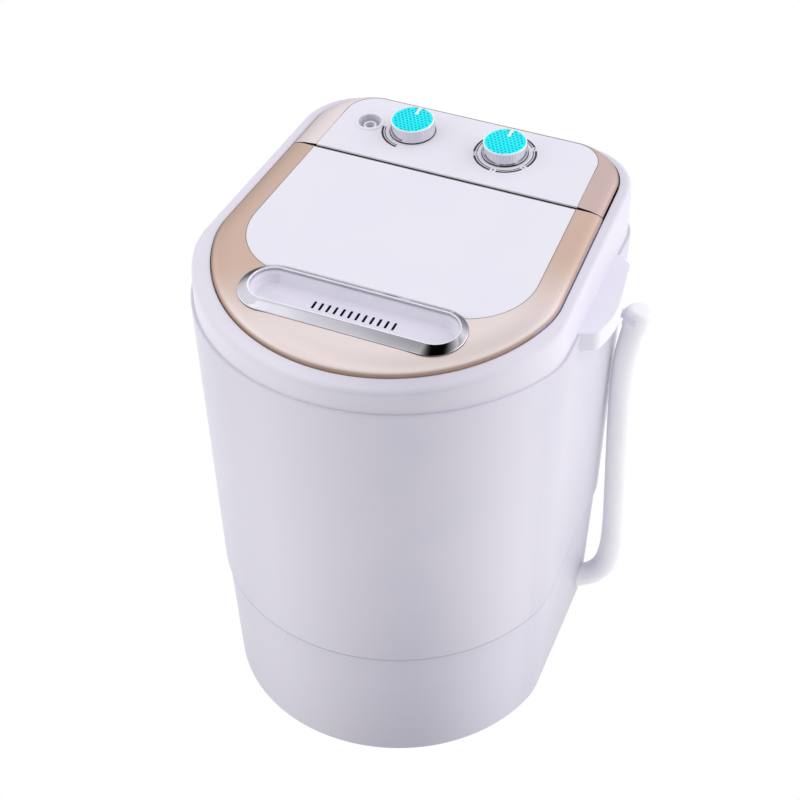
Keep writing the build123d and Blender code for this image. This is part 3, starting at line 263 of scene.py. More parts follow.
# the shell is the same white painted a shade greyer as shade, with the same cool cast, painted darker along its
# foot and given the painted sheen
finishes["shell_plastic"] = moulded(
    "shellPolypropylene", "#D0CDD9", "#CDCAD7", 0.34,
    fade=("#B3B0BE", -53 * mm, 336 * mm), sheen=("#E4E1EC", sheenSettings["shell"]),
    # painted shade darkening towards the foot, and a painted shadow line along the lower edge where the shell
    # meets the base
    shades=(("#ABA8B6", shellFoot - 615 * mm, shellFoot + 150 * mm),
            ("#8D8999", shellFoot + 0.4 * mm, shellFoot + 1.0 * mm)))
# the rim is painted greyer than the lid and paler than the shell, as shade, with a painted sheen bright towards
# both sides
finishes["rim_plastic"] = moulded("rimPolypropylene", "#D2CFDA", "#CFCCD8", 0.34,
                                  sheen=("#EBE8F1", sheenSettings["rim"]))
# the base is the same white painted greyest of the mouldings as shade, painted darker towards the floor, with the
# painted sheen
finishes["base_plastic"] = moulded(
    "basePolypropylene", "#C3C0CD", "#C0BDCB", 0.36,
    fade=("#B4B1BF", -40 * mm, 140 * mm), sheen=("#DCD9E5", sheenSettings["shell"]),
    shades=(("#9F9CAA", -320 * mm, shellFoot),))
# the side grips and the hose clip are the same white, painted brightest as painted light that lifts their shade
finishes["grip_plastic"] = moulded("gripPolypropylene", "#F3F1FA", "#F0EEF8", 0.34)
# the lid's gold lacquered front wall, painted light brown as shade where it turns away from the light
finishes["shaded_edge_lacquer"] = moulded("shadedEdgeLacquer", "#C9AE9C", "#BFA391", 0.4, grainDepth=0.006 * mm)
# lilac grey painted on the lid's side walls, as a painted reflection
finishes["side_wall_reflection"] = moulded("sideWallReflection", "#C9C3D2", "#C2BBCC", 0.4)

champagneSettings = {
    "shader": {"Metallic": 0.5, "Coat Weight": 0.2, "Coat Roughness": 0.12},
    "edge": "#9C7D69", "edgeHeights": (-0.2 * mm, 1.8 * mm),
    "flake": 0.3 * mm, "gloss": (0.26, 0.32),
    "trimWay": topAlong - topSide * 0.45, "trimReach": (-125 * mm, -20 * mm),
    "panelWay": topSide, "panelReach": (-110 * mm, 110 * mm),
}


# champagne lacquer over plastic: a smooth soft metallic, with a painted highlight paler towards one end and
# painted shade brown along the outer edge, with flakes far finer than a pixel
def champagne(name, pale, warm, towards, reach):
    material, tree, shader, place = startMaterial(name, champagneSettings["shader"])
    edgeShadeAmount, along = (
        reading(tree, place, direction, topOrigin.dot(direction) + low, topOrigin.dot(direction) + high)
        for direction, (low, high) in ((topNormal, champagneSettings["edgeHeights"]), (towards, reach)))
    body = addNode(tree, "ShaderNodeMix", {"data_type": "RGBA"}, {6: tint(pale), 7: tint(warm)})
    edgeShaded = addNode(tree, "ShaderNodeMix", {"data_type": "RGBA"}, {6: tint(champagneSettings["edge"])})
    tree.links.new(along, body.inputs[0])
    tree.links.new(edgeShadeAmount, edgeShaded.inputs[0])
    tree.links.new(body.outputs[2], edgeShaded.inputs[7])
    tree.links.new(edgeShaded.outputs[2], shader.inputs["Base Color"])
    unevenGloss(tree, shader, place, champagneSettings["flake"], *champagneSettings["gloss"])
    return material


# painted highlight: the lid's lacquer is painted palest at the front right, the panel's at its left end
finishes["gold_trim"] = champagne("champagneLacquer", "#EFE2DD", "#D6B9A6",
                                  champagneSettings["trimWay"], champagneSettings["trimReach"])
finishes["gold_panel"] = champagne("champagnePanel", "#F4E8E6", "#D2BAB3",
                                   champagneSettings["panelWay"], champagneSettings["panelReach"])
# bright plated chrome, almost a mirror, with faint wiping marks
finishes["chrome_trim"] = metal("platedChrome", "#E2E1E7", "#DAD9E0", 0.05, 0.10, 2.0 * mm, 0.001 * mm)
# the same chrome round the grip, with painted dark reflections of the room at its turns
finishes["chrome_surround"] = metal("surroundChrome", "#E2E1E7", "#DAD9E0", 0.05, 0.10, 2.0 * mm,
                                    0.001 * mm, paintedReflection=("paintedDarkReflection", "#0B0A0E"))
# bright silver of the knob skirts
finishes["skirt_ground"] = metal("skirtChrome", "#E0DFE6", "#D6D5DD", 0.08, 0.14, 2.0 * mm, 0.001 * mm)
# fine dark lines pressed down the knob skirts
finishes["skirt_line"] = metal("skirtLine", "#77767F", "#6A6972", 0.2, 0.3, 2.0 * mm, 0.001 * mm)
# the grip cup is the same cool white, a little glossier
finishes["cup_plastic"] = moulded("cupPolypropylene", "#E8E5F0", "#E5E2EE", 0.3, grainDepth=0.006 * mm)
# cyan acrylic of the knob tops, with a painted glow
finishes["cap_plastic"] = moulded(
    "cyanAcrylic", "#04F2F6", "#02EAF2", 0.35, grainDepth=0.003 * mm,
    extra={"Specular IOR Level": 0.25, "Emission Color": tint("#04E6F0"), "Emission Strength": 0.16})
# deeper cyan of the cells on the knob tops
finishes["cap_cell"] = moulded("deepCyanCell", "#03BFD0", "#02B4C8", 0.4, grainDepth=0.003 * mm,
                               extra={"Specular IOR Level": 0.25})
# clean white insert of the pointers and knob rings
finishes["pointer_plastic"] = moulded("whiteInsert", "#FAFAFC", "#F4F4F8", 0.25, grainDepth=0.003 * mm)
# milky soft vinyl of the hose, slightly see through, with a painted glow for the light bleeding along it
finishes["hose_plastic"] = moulded(
    "milkyVinyl", "#FBFBFD", "#F5F5F9", 0.34, 1.2 * mm, 0.02 * mm,
    extra={"Subsurface Weight": 0.25, "Subsurface Scale": 4 * mm,
           "Emission Color": tint("#F2F2F8"), "Emission Strength": 0.055},
    # painted shade: a shade darker towards the bottom
    shades=(("#EDECF2", 10 * mm, 150 * mm),))
# matt black rubber with a fine bloom
finishes["rubber"] = moulded("blackRubber", "#2B2B2D", "#212123", 0.72, 0.6 * mm, 0.03 * mm)
# zinc plated steel, grey with a soft spangle
finishes["steel"] = metal("zincSteel", "#B9BBBE", "#9C9EA2", 0.28, 0.42, 1.2 * mm, 0.006 * mm)
# grey stove enamel of the motor
finishes["motor_paint"] = moulded("motorEnamel", "#83878C", "#74787D", 0.42, 0.8 * mm, 0.03 * mm)
# rough sand cast aluminium
finishes["aluminium_cast"] = metal("castAluminium", "#B4B5B7", "#97989B", 0.48, 0.66,
                                   0.7 * mm, 0.05 * mm)
# oiled bronze bushes
finishes["bronze"] = metal("sinteredBronze", "#B58A54", "#9A7342", 0.34, 0.5, 0.4 * mm, 0.02 * mm)
# black glass filled nylon
finishes["pulley_plastic"] = moulded("blackNylon", "#35363A", "#292A2E", 0.48, 0.6 * mm, 0.02 * mm)
# pale blue grey polypropylene of the pulsator
finishes["pulsator_plastic"] = moulded("paleBluePolypropylene", "#C9DBEA", "#BFD2E3", 0.34,
                                       grainDepth=0.01 * mm)
# dark phenolic of the timer and switch
finishes["control_plastic"] = moulded("darkPhenolic", "#3A3330", "#2E2826", 0.4, 0.5 * mm, 0.02 * mm)
# ivory can of the capacitor
finishes["capacitor_plastic"] = moulded("ivoryCan", "#DAD5C6", "#CFC9B8", 0.35, grainDepth=0.01 * mm)
# black woven sleeve of the wiring
finishes["cable_sleeve"] = moulded("wovenSleeve", "#2F3033", "#232426", 0.7, 0.9 * mm, 0.15 * mm)

# thin lines and shades: name, colours, roughness, and how much each shines
filmGrain = {"grainSize": 0.3 * mm, "grainDepth": 0.004 * mm}
filmSettings = {
    # painted shade: a thin grey line where the surround meets the cup
    "lip_line": ("lipLine", "#BDB9C6", "#B4B0BE", 0.5, 0.5),
    # charcoal screen ink of the dials
    "ink": ("charcoalInk", "#2A2832", "#23212B", 0.5, 0.5),
    # brown shadow line round the inlaid panels
    "joint_line": ("brownJointLine", "#7E6C62", "#6E5D54", 0.6, 0.5),
    # the shade inside the open gap between panel and rim
    "gap_shade": ("gapShade", "#17141A", "#121015", 0.8, 0.1),
    # the softer shade in the narrow seam behind the lid
    "seam_shade": ("seamShade", "#6A606C", "#625865", 0.8, 0.1),
    # deep indigo shade of the cup's vent slots
    "slot_shade": ("slotShade", "#4A3F86", "#40367A", 0.8, 0.1),
}
for key, (name, pale, dark, rough, shine) in filmSettings.items():
    finishes[key] = moulded(name, pale, dark, rough, **filmGrain, extra={"Specular IOR Level": shine})
print("finishes made:", len(finishes))


def finishPiece(piece, finish, body, standsFor=(), sharp=None):
    piece.data.materials.clear()
    piece.data.materials.append(finishes[finish])
    if sharp is not None:
        for face in piece.data.polygons:
            face.use_smooth = True
        piece.data.set_sharp_from_angle(angle=math.radians(sharp))
    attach(piece, body)
    if standsFor:
        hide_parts(*standsFor)
    return piece


# rings of points joined into a skin, each ring the same count
def skinRings(name, rings, closeStart=False, closeEnd=False):
    shape = bmesh.new()
    laid = [[shape.verts.new(point) for point in ring] for ring in rings]
    count = len(laid[0])
    for first, second in zip(laid, laid[1:]):
        for i in range(count):
            j = (i + 1) % count
            shape.faces.new((first[i], first[j], second[j], second[i]))
    if closeStart:
        shape.faces.new(list(reversed(laid[0])))
    if closeEnd:
        shape.faces.new(laid[-1])
    bmesh.ops.recalc_face_normals(shape, faces=shape.faces)
    mesh = bpy.data.meshes.new(name)
    shape.to_mesh(mesh)
    shape.free()
    return mesh


# part of a profile, as steps in mm outwards and upwards from a radius and a height
def stepped(radius, height, steps):
    return [(radius + out * mm, height + up * mm) for out, up in steps]


def turned(name, profile, steps, closeEnd=False):
    rings = []
    for radius, height in profile:
        ring = []
        for i in range(steps):
            angle = 2 * math.pi * i / steps
            ring.append((radius * math.cos(angle), radius * math.sin(angle), height))
        rings.append(ring)
    return skinRings(name, rings, closeEnd=closeEnd)


# drain hose: rises from the side of the base to its clip; points repeat the route of the model
hoseSettings = {
    "exit": Vector((162.5, 119.1, 30.2)) * mm,
    "heading": math.radians(24.1),
    "radius": 12.5 * mm,
    "length": 389.8 * mm,
    "route": ((-8.6, 0.0), (-1.0, 0.0), (8.7, 2.6), (18.2, 9.2), (25.8, 21.2), (30.6, 46.8),
              (30.3, 96.8), (26.5, 186.7), (23.6, 276.7), (26.8, 326.5), (35.8, 366.5)),
    "steps": 16, "roundness": 10,
}
hoseAlong = Vector((math.cos(hoseSettings["heading"]), math.sin(hoseSettings["heading"]), 0))
hosePoints = [hoseSettings["exit"] + hoseAlong * (out * mm) + Vector((0, 0, up * mm))
              for out, up in hoseSettings["route"]]
hoseCurve = bpy.data.curves.new("drainHose", "CURVE")
hoseCurve.dimensions = "3D"
hoseSpline = hoseCurve.splines.new("NURBS")
hoseSpline.points.add(len(hosePoints) - 1)
for point, place in zip(hoseSpline.points, hosePoints):
    point.co = (*place, 1.0)
hoseSpline.order_u = 3
hoseSpline.use_endpoint_u = True
hoseSpline.use_smooth = True
hoseCurve.resolution_u = hoseSettings["steps"]
hoseCurve.bevel_depth = hoseSettings["radius"]
hoseCurve.bevel_resolution = hoseSettings["roundness"]
hoseCurve.materials.append(finishes["hose_plastic"])
hosePiece = plainObject("drainHose", hoseCurve)
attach(hosePiece, "cabinet")
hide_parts("drain_hose")

# soft cap over the free end, with a rounded closed nose
capSettings = {
    "radius": 13.6 * mm, "length": 20.0 * mm, "beyond": 2.0 * mm, "nose": 5.0 * mm, "mouth": 12.55 * mm,
    "lipSteps": ((-0.4, 0.0), (-0.1, 0.15), (0.0, 0.5)), "noseTurns": (0, 15, 30, 45, 60, 75, 90),
    "flatRadii": (4.0 * mm, 0.4 * mm), "steps": 64, "sharp": 40,
}
endAxis = (hosePoints[-1] - hosePoints[-2]).normalized()
sleeveProfile = [(capSettings["mouth"], -capSettings["length"])]
sleeveProfile += stepped(capSettings["radius"], -capSettings["length"], capSettings["lipSteps"])
for angle in capSettings["noseTurns"]:
    angle = math.radians(angle)
    sleeveProfile.append((capSettings["radius"] - capSettings["nose"] * (1 - math.cos(angle)),
                          capSettings["beyond"] + capSettings["nose"] * (math.sin(angle) - 1)))
sleeveProfile += [(radius, capSettings["beyond"]) for radius in capSettings["flatRadii"]]
sleeveMesh = turned("hoseEndCap", sleeveProfile, capSettings["steps"], closeEnd=True)
sleeveTurn = endAxis.to_track_quat("Z", "Y").to_matrix().to_4x4()
sleeveMesh.transform(Matrix.Translation(hosePoints[-1]) @ sleeveTurn)
sleevePiece = finishPiece(plainObject("hoseEndCap", sleeveMesh), "hose_plastic", "cabinet",
                          ("hose_cap",), capSettings["sharp"])
print("hose made")


def startTree(name, inputs):
    tree = bpy.data.node_groups.new(name, "GeometryNodeTree")
    for label, kind in inputs:
        tree.interface.new_socket(label, in_out="INPUT", socket_type="NodeSocket" + kind)
    tree.interface.new_socket("Geometry", in_out="OUTPUT", socket_type="NodeSocketGeometry")
    return tree, addNode(tree, "NodeGroupInput").outputs


# the last steps of both trees: a copy on every point, made real and given its finish
def endTree(tree, points, given, spin=None, scale=None):
    copies = addNode(tree, "GeometryNodeInstanceOnPoints")
    solid = addNode(tree, "GeometryNodeRealizeInstances")
    paint = addNode(tree, "GeometryNodeSetMaterial")
    result = addNode(tree, "NodeGroupOutput")
    tree.links.new(points, copies.inputs["Points"])
    tree.links.new(given["Geometry"], copies.inputs["Instance"])
    if spin:
        tree.links.new(spin, copies.inputs["Rotation"])
    if scale:
        tree.links.new(scale, copies.inputs["Scale"])
    tree.links.new(copies.outputs["Instances"], solid.inputs["Geometry"])
    tree.links.new(solid.outputs["Geometry"], paint.inputs["Geometry"])
    tree.links.new(given["Finish"], paint.inputs["Material"])
    tree.links.new(paint.outputs["Geometry"], result.inputs["Geometry"])


# repeats: copies of a small piece round an axis
def spinTree():
    tree, given = startTree("roundAxis", (
        ("Geometry", "Geometry"), ("Copies", "Int"), ("Start", "Float"), ("Sweep", "Float"),
        ("Finish", "Material")))
    line = addNode(tree, "GeometryNodeMeshLine", values={"Offset": (0.0, 0.0, 0.0)})
    index = addNode(tree, "GeometryNodeInputIndex")
    share = calc(tree, "DIVIDE", index.outputs["Index"], given["Copies"])
    turn = calc(tree, "MULTIPLY_ADD", share, given["Sweep"], given["Start"])
    spin = addNode(tree, "ShaderNodeCombineXYZ")
    tree.links.new(given["Copies"], line.inputs["Count"])
    tree.links.new(turn, spin.inputs["Z"])
    endTree(tree, line.outputs["Mesh"], given, spin=spin.outputs["Vector"])
    return tree


# repeats: small cells in a honeycomb over a disc
def cellTree():
    tree, given = startTree("honeycombCells", (
        ("Geometry", "Geometry"), ("Pitch", "Float"), ("Reach", "Float"), ("Cell", "Float"),
        ("Rows", "Int"), ("Finish", "Material")))
    links = tree.links
    width = calc(tree, "MULTIPLY", given["Pitch"], calc(tree, "SUBTRACT", given["Rows"], 1.0))
    depth = calc(tree, "MULTIPLY", width, math.sqrt(3) / 2)
    grid = addNode(tree, "GeometryNodeMeshGrid")
    links.new(width, grid.inputs["Size X"])
    links.new(depth, grid.inputs["Size Y"])
    links.new(given["Rows"], grid.inputs["Vertices X"])
    links.new(given["Rows"], grid.inputs["Vertices Y"])
    # every second row is shifted by half a pitch
    index = addNode(tree, "GeometryNodeInputIndex")
    row = calc(tree, "MODULO", index.outputs["Index"], given["Rows"])
    half = calc(tree, "MULTIPLY", given["Pitch"], 0.5)
    shove = addNode(tree, "ShaderNodeCombineXYZ")
    links.new(calc(tree, "MULTIPLY", calc(tree, "MODULO", row, 2.0), half), shove.inputs["X"])
    shifted = addNode(tree, "GeometryNodeSetPosition")
    links.new(grid.outputs["Mesh"], shifted.inputs["Geometry"])
    links.new(shove.outputs["Vector"], shifted.inputs["Offset"])
    # cells past the edge of the disc are left out
    place = addNode(tree, "GeometryNodeInputPosition")
    far = addNode(tree, "ShaderNodeVectorMath", {"operation": "LENGTH"})
    outside = addNode(tree, "FunctionNodeCompare", {"data_type": "FLOAT", "operation": "GREATER_THAN"})
    kept = addNode(tree, "GeometryNodeDeleteGeometry", {"domain": "POINT"})
    links.new(place.outputs["Position"], far.inputs[0])
    links.new(far.outputs["Value"], outside.inputs["A"])
    links.new(given["Reach"], outside.inputs["B"])
    links.new(shifted.outputs["Geometry"], kept.inputs["Geometry"])
    links.new(outside.outputs["Result"], kept.inputs["Selection"])
    endTree(tree, kept.outputs["Geometry"], given, scale=given["Cell"])
    return tree


trees = {"roundAxis": spinTree(), "honeycombCells": cellTree()}


# the mesh that an object shows, without the object
def shownMesh(loose):
    bpy.context.view_layer.update()
    shown = loose.evaluated_get(bpy.context.evaluated_depsgraph_get())
    mesh = bpy.data.meshes.new_from_object(shown)
    bpy.data.objects.remove(loose)
    return mesh


def repeated(name, mesh, treeName, values):
    seed = plainObject(name, mesh)
    tree = trees[treeName]
    modifier = seed.modifiers.new(treeName, "NODES")
    modifier.node_group = tree
    sockets = {item.name: item.identifier for item in tree.interface.items_tree
               if item.in_out == "INPUT"}
    for key, value in values.items():
        modifier[sockets[key]] = value
    grown = shownMesh(seed)
    grown.name = name
    return grown


# knobs: silver fluted skirt, proud white ring, sunk cyan top with honeycomb cells, white pointer
knobSettings = {
    "foot": 0.3 * mm, "baseRadius": 22.8 * mm, "topRadius": 21.1 * mm, "height": 14.2 * mm,
    "ringWidth": 1.1 * mm, "ringDepth": 2.0 * mm, "sink": 0.7 * mm, "footShade": 1.3 * mm, "steps": 128,
    "skirtFoot": ((-1.6, 0.0), (-0.2, 0.0), (0.0, 0.3), (-0.1, 0.8), (-0.5, 1.1), (-0.6, 1.6)),
    "skirtHead": ((-0.1, -2.0),),
    "ringOutside": ((-0.3, -2.0), (0.0, -1.8), (0.0, -0.4), (-0.15, -0.1), (-0.4, 0.0)),
    "ringInside": ((0.3, 0.0), (0.0, -0.3), (0.0, -2.0)),
    "capWall": ((-0.02, -2.4),), "capEdge": ((-0.02, -0.2), (-0.4, 0.0)), "capMiddle": 0.4 * mm,
    "ribs": 44, "ribWidth": 0.5 * mm, "ribDepth": 0.28 * mm, "ribSunk": 0.2 * mm, "ribArc": 8,
    "ribFoot": ((-0.7, 1.7),), "ribHead": ((-0.15, -2.1),),
    "ribTaper": ((0.0, 0.7), (0.06, 1.0), (0.94, 1.0), (1.0, 0.7)),
    "cellPitch": 4.1 * mm, "cellRadius": 1.5 * mm, "cellRows": 15, "cellReach": 18.4 * mm,
    "cellSteps": ((1.0, 0.0), (0.8, 0.12), (0.55, 0.16)), "cellSides": 6,
    "pointerLength": 12.0 * mm, "pointerWidth": 2.8 * mm, "pointerInset": 0.5 * mm,
    "pointerDrop": 0.05 * mm, "pointerEdge": 0.25 * mm,
}
knobFoot, knobHeight = knobSettings["foot"], knobSettings["height"]
baseRadius, topRadius = knobSettings["baseRadius"], knobSettings["topRadius"]
ringInner = topRadius - knobSettings["ringWidth"]
capTop = knobHeight - knobSettings["sink"]
skirtProfile = (stepped(baseRadius, knobFoot, knobSettings["skirtFoot"])
                + stepped(topRadius, knobHeight, knobSettings["skirtHead"]))
ringProfile = (stepped(topRadius, knobHeight, knobSettings["ringOutside"])
               + stepped(ringInner, knobHeight, knobSettings["ringInside"]))
capProfile = (stepped(ringInner, knobHeight, knobSettings["capWall"])
              + stepped(ringInner, capTop, knobSettings["capEdge"])
              + [(knobSettings["capMiddle"], capTop)])


def ribMesh():
    (lowRadius, lowHeight), = stepped(baseRadius, knobFoot, knobSettings["ribFoot"])
    (highRadius, highHeight), = stepped(topRadius, knobHeight, knobSettings["ribHead"])
    low, high = Vector((lowRadius, 0, lowHeight)), Vector((highRadius, 0, highHeight))
    depth, half = knobSettings["ribDepth"], knobSettings["ribWidth"] / 2
    rings = []
    for along, share in knobSettings["ribTaper"]:
        ring = []
        for i in range(knobSettings["ribArc"] + 1):
            angle = math.pi * i / knobSettings["ribArc"]
            out = math.sin(angle) * depth * share - knobSettings["ribSunk"]
            ring.append(low.lerp(high, along) + Vector((out, math.cos(angle) * half * share, 0)))
        rings.append(ring)
    return skinRings("knobRib", rings, True, True)


def cellMesh():
    turns = [math.pi * i / 3 + math.pi / 6 for i in range(knobSettings["cellSides"])]
    rings = [[(radius * math.cos(turn), radius * math.sin(turn), height) for turn in turns]
             for radius, height in knobSettings["cellSteps"]]
    return skinRings("capCell", rings, closeEnd=True)


def pointerMesh():
    back = topRadius - knobSettings["pointerInset"]
    front = back - knobSettings["pointerLength"]
    half = knobSettings["pointerWidth"] / 2
    top = knobHeight - knobSettings["pointerDrop"]
    low = knobHeight - knobSettings["ringDepth"]
    edge = knobSettings["pointerEdge"]
    rings = []
    for inward, height in ((0.0, low), (0.0, top - edge), (edge, top)):
        rings.append([(-half + inward, front + inward, height), (half - inward, front + inward, height),
                      (half - inward, back - inward, height), (-half + inward, back - inward, height)])
    return skinRings("knobPointer", rings, True, True)


for knob, joint in (("timer", "timer_turn"), ("selector", "selector_turn")):
    spot = facing(jointPlace(joint))
    body = knob + "_knob"
    steps = knobSettings["steps"]
    skirt = turned(knob + "Skirt", skirtProfile, steps)
    ribs = repeated(knob + "Ribs", ribMesh(), "roundAxis", {
        "Copies": knobSettings["ribs"], "Start": 0.0, "Sweep": 2 * math.pi,
        "Finish": finishes["skirt_line"]})
    ring = turned(knob + "Ring", ringProfile, steps)
    cap = turned(knob + "Cap", capProfile, steps, closeEnd=True)
    cells = repeated(knob + "Cells", cellMesh(), "honeycombCells", {
        "Pitch": knobSettings["cellPitch"], "Reach": knobSettings["cellReach"],
        "Cell": knobSettings["cellRadius"], "Rows": knobSettings["cellRows"],
        "Finish": finishes["cap_cell"]})
    cells.transform(Matrix.Translation((0, 0, capTop)))
    shadeTop = knobFoot + knobSettings["footShade"]
    shaded = [face.index for face in skirt.polygons if face.center.z < shadeTop]
    made = (
        ("Skirt", skirt, "skirt_ground", "chrome_trim", (body + "_skirt",), 30),
        ("Ribs", ribs, "skirt_line", "chrome_trim", (), 60),
        ("Ring", ring, "pointer_plastic", "pointer_plastic", (), 50),
        ("Cap", cap, "cap_plastic", "cap_plastic", (body + "_cap",), 40),
        ("Cells", cells, "cap_cell", "cap_plastic", (), None),
        ("Pointer", pointerMesh(), "pointer_plastic", "pointer_plastic", (body + "_pointer",), 30),
    )
    for label, mesh, finish, slotName, standsFor, sharp in made:
        mesh.transform(spot)
        finishPiece(plainObject(knob + label, mesh), finish, body, standsFor, sharp)
    # the skirt's foot lies in the dark of the gap under the knob
    skirt.materials.append(finishes["gap_shade"])
    for i in shaded:
        skirt.polygons[i].material_index = 1
print("knobs made")

# printed dials: two rings each, the timer's broken by its numbers; bearings are in degrees
dialSettings = {
    "outerRadius": 29.75 * mm, "outerWidth": 2.1 * mm, "innerRadius": 27.2 * mm, "innerWidth": 0.9 * mm,
    "rise": 0.08 * mm, "arcStep": math.radians(3), "fewestSteps": 8,
    "timerBreaks": (57, 121, 182, 248), "breakHalf": 6.0, "selectorArc": (190, 264),
    "numbers": ("3", "6", "9", "12"), "numberSize": 4.6 * mm, "numberThick": 0.04 * mm,
    "numberInset": 1.0 * mm, "numberLift": 0.05 * mm,
}


def bearingVector(angle):
    return Vector((math.sin(angle), math.cos(angle), 0))


# flat printed line along an arc, a thin raised band
def arcBand(edge, start, end):
    radius, half = dialSettings[edge + "Radius"], dialSettings[edge + "Width"] / 2
    start, end = math.radians(start), math.radians(end)
    steps = max(dialSettings["fewestSteps"], int(abs(end - start) / dialSettings["arcStep"]))
    up = Vector((0, 0, dialSettings["rise"]))
    rings = []
    for i in range(steps + 1):
        out = bearingVector(start + (end - start) * i / steps)
        inner, outer = out * (radius - half), out * (radius + half)
        rings.append([inner, outer, outer + up, inner + up])
    return skinRings(edge, rings, True, True)


def printDial(name, spot, arcs):
    shape = bmesh.new()
    for start, end in arcs:
        for edge in ("outer", "inner"):
            band = arcBand(edge, start, end)
            shape.from_mesh(band)
            bpy.data.meshes.remove(band)
    mesh = bpy.data.meshes.new(name)
    shape.to_mesh(mesh)
    shape.free()
    mesh.transform(spot)
    finishPiece(plainObject(name, mesh), "ink", "cabinet")


timerSpot = facing(jointPlace("timer_turn"))
breaks, breakHalf = dialSettings["timerBreaks"], dialSettings["breakHalf"]
nextBreaks = breaks[1:] + (breaks[0] + 360,)
printDial("timerDial", timerSpot, [(here + breakHalf, after - breakHalf)
                                   for here, after in zip(breaks, nextBreaks)])
printDial("selectorDial", facing(jointPlace("selector_turn")), [dialSettings["selectorArc"]])

numberRadius = dialSettings["outerRadius"] - dialSettings["numberInset"]
numberLift = Vector((0, 0, dialSettings["numberLift"]))
for label, bearing in zip(dialSettings["numbers"], breaks):
    words = bpy.data.curves.new("dialNumber", "FONT")
    words.body = label
    words.size = dialSettings["numberSize"]
    words.align_x = "CENTER"
    words.align_y = "CENTER"
    words.extrude = dialSettings["numberThick"]
    digits = shownMesh(plainObject("dialNumber", words))
    offset = bearingVector(math.radians(bearing)) * numberRadius
    digits.transform(timerSpot @ Matrix.Translation(offset + numberLift))
    finishPiece(plainObject("dialNumber" + label, digits), "ink", "cabinet")
print("dials printed")


# points round a long slot outline, lying in the top plane
def stadium(length, width, centre, rise, steps=40):
    radius = width / 2
    straight = (length - width) / 2
    points = []
    for side in (1, -1):
        for i in range(steps + 1):
            angle = -side * math.pi / 2 + math.pi * i / steps
            points.append(onTop(side * straight + radius * math.cos(angle),
                                centre + radius * math.sin(angle), rise))
    return points


# chrome surround of the grip: a soft bulging band, broad at the front and slim at the back;
# both edges are given as length, width and centre, the steps as shares inwards and upwards
bezelSettings = {
    "outer": (217.6 * mm, 62.6 * mm, -98.5 * mm), "inner": (201.0 * mm, 42.0 * mm, -94.5 * mm),
    "seat": 5.0 * mm, "crest": 8.4 * mm, "drop": 4.7 * mm, "dropFrom": 0.9, "darkReach": 0.7,
    "steps": ((0.0, 0.0), (0.0, 0.30), (0.02, 0.37), (0.06, 0.42), (0.30, 0.60), (0.54, 0.79),
              (0.72, 0.92), (0.80, 0.97), (0.86, 1.0), (0.92, 0.98), (0.97, 0.88), (1.0, 0.7),
              (1.0, 0.0)),
    "sharp": 60,
    "finishes": ("chrome_surround", "joint_line", "pointer_plastic", "lip_line"),
    # faces from the outside in: the brown shadow line at the foot, the chrome, the white insert plastic on the
    # inner slope as a painted highlight, and the painted grey line at the lip
    "bands": (("joint_line", 1), ("chrome_surround", 7), ("pointer_plastic", 3), ("lip_line", 1)),
}
bezelRings = []
for inward, rise in bezelSettings["steps"]:
    length, width, centre = (between(first, last, inward) for first, last
                             in zip(bezelSettings["outer"], bezelSettings["inner"]))
    low = bezelSettings["seat"] if inward < bezelSettings["dropFrom"] else bezelSettings["drop"]
    bezelRings.append(stadium(length, width, centre, between(low, bezelSettings["crest"], rise)))
bezelMesh = skinRings("gripSurround", bezelRings)
finishPiece(plainObject("gripSurround", bezelMesh), "chrome_surround", "lid",
            ("handle_bezel",), bezelSettings["sharp"])
for finish in bezelSettings["finishes"][1:]:
    bezelMesh.materials.append(finishes[finish])
around = len(bezelRings[0])
bandPlaces = [bezelSettings["finishes"].index(finish) for finish, count in bezelSettings["bands"]
              for i in range(count)]
for i, face in enumerate(bezelMesh.polygons):
    face.material_index = bandPlaces[i // around]

# painted reflection: the dark of the room is painted in three soft patches, by place along the surround's outline
paintedDarkPatches = (
    {"middle": 6.5, "fade": 6.0, "outerHalf": 2.5, "innerHalf": 3.5, "outer": 1.0, "inner": 1.0},
    {"middle": 29.0, "fade": 6.0, "outerHalf": 2.0, "innerHalf": 2.0, "outer": 0.4, "inner": 0.45},
    {"middle": 55.5, "fade": 9.0, "outerHalf": 1.5, "innerHalf": 1.5, "outer": 0.75, "inner": 0.82},
)


def patchDark(patch, edge, station):
    share = 1 - (abs(station - patch["middle"]) - patch[edge + "Half"]) / patch["fade"]
    share = min(1.0, max(0.0, share))
    return patch[edge] * share * share * (3 - 2 * share)


paintedDarkness = bezelMesh.attributes.new("paintedDarkReflection", "FLOAT", "POINT")
for ring, (inward, rise) in enumerate(bezelSettings["steps"]):
    share = min(1.0, inward / bezelSettings["darkReach"])
    for station in range(around):
        outer = max(patchDark(patch, "outer", station) for patch in paintedDarkPatches)
        inner = max(patchDark(patch, "inner", station) for patch in paintedDarkPatches)
        paintedDarkness.data[ring * around + station].value = between(outer, inner, share)
print("grip surround made")

# CAD pieces keep their shape and take a finish
slotOf = {piece["node"]: piece["material_slot"] for piece in frame["record"]["subparts"]}
bodies = frame["record"]["behaviour"]["bodies"]
bodyOf = {name: body for body, members in bodies.items() for name in members}
shadeOf = {"body_shell": "shell_plastic", "base_skirt": "base_plastic", "top_rim": "rim_plastic",
           "grip_left": "grip_plastic", "grip_right": "grip_plastic", "hose_clip": "grip_plastic"}
for name, node in nodes.items():
    node.data.materials.clear()
    node.data.materials.append(finishes[shadeOf.get(name, slotOf[name])])

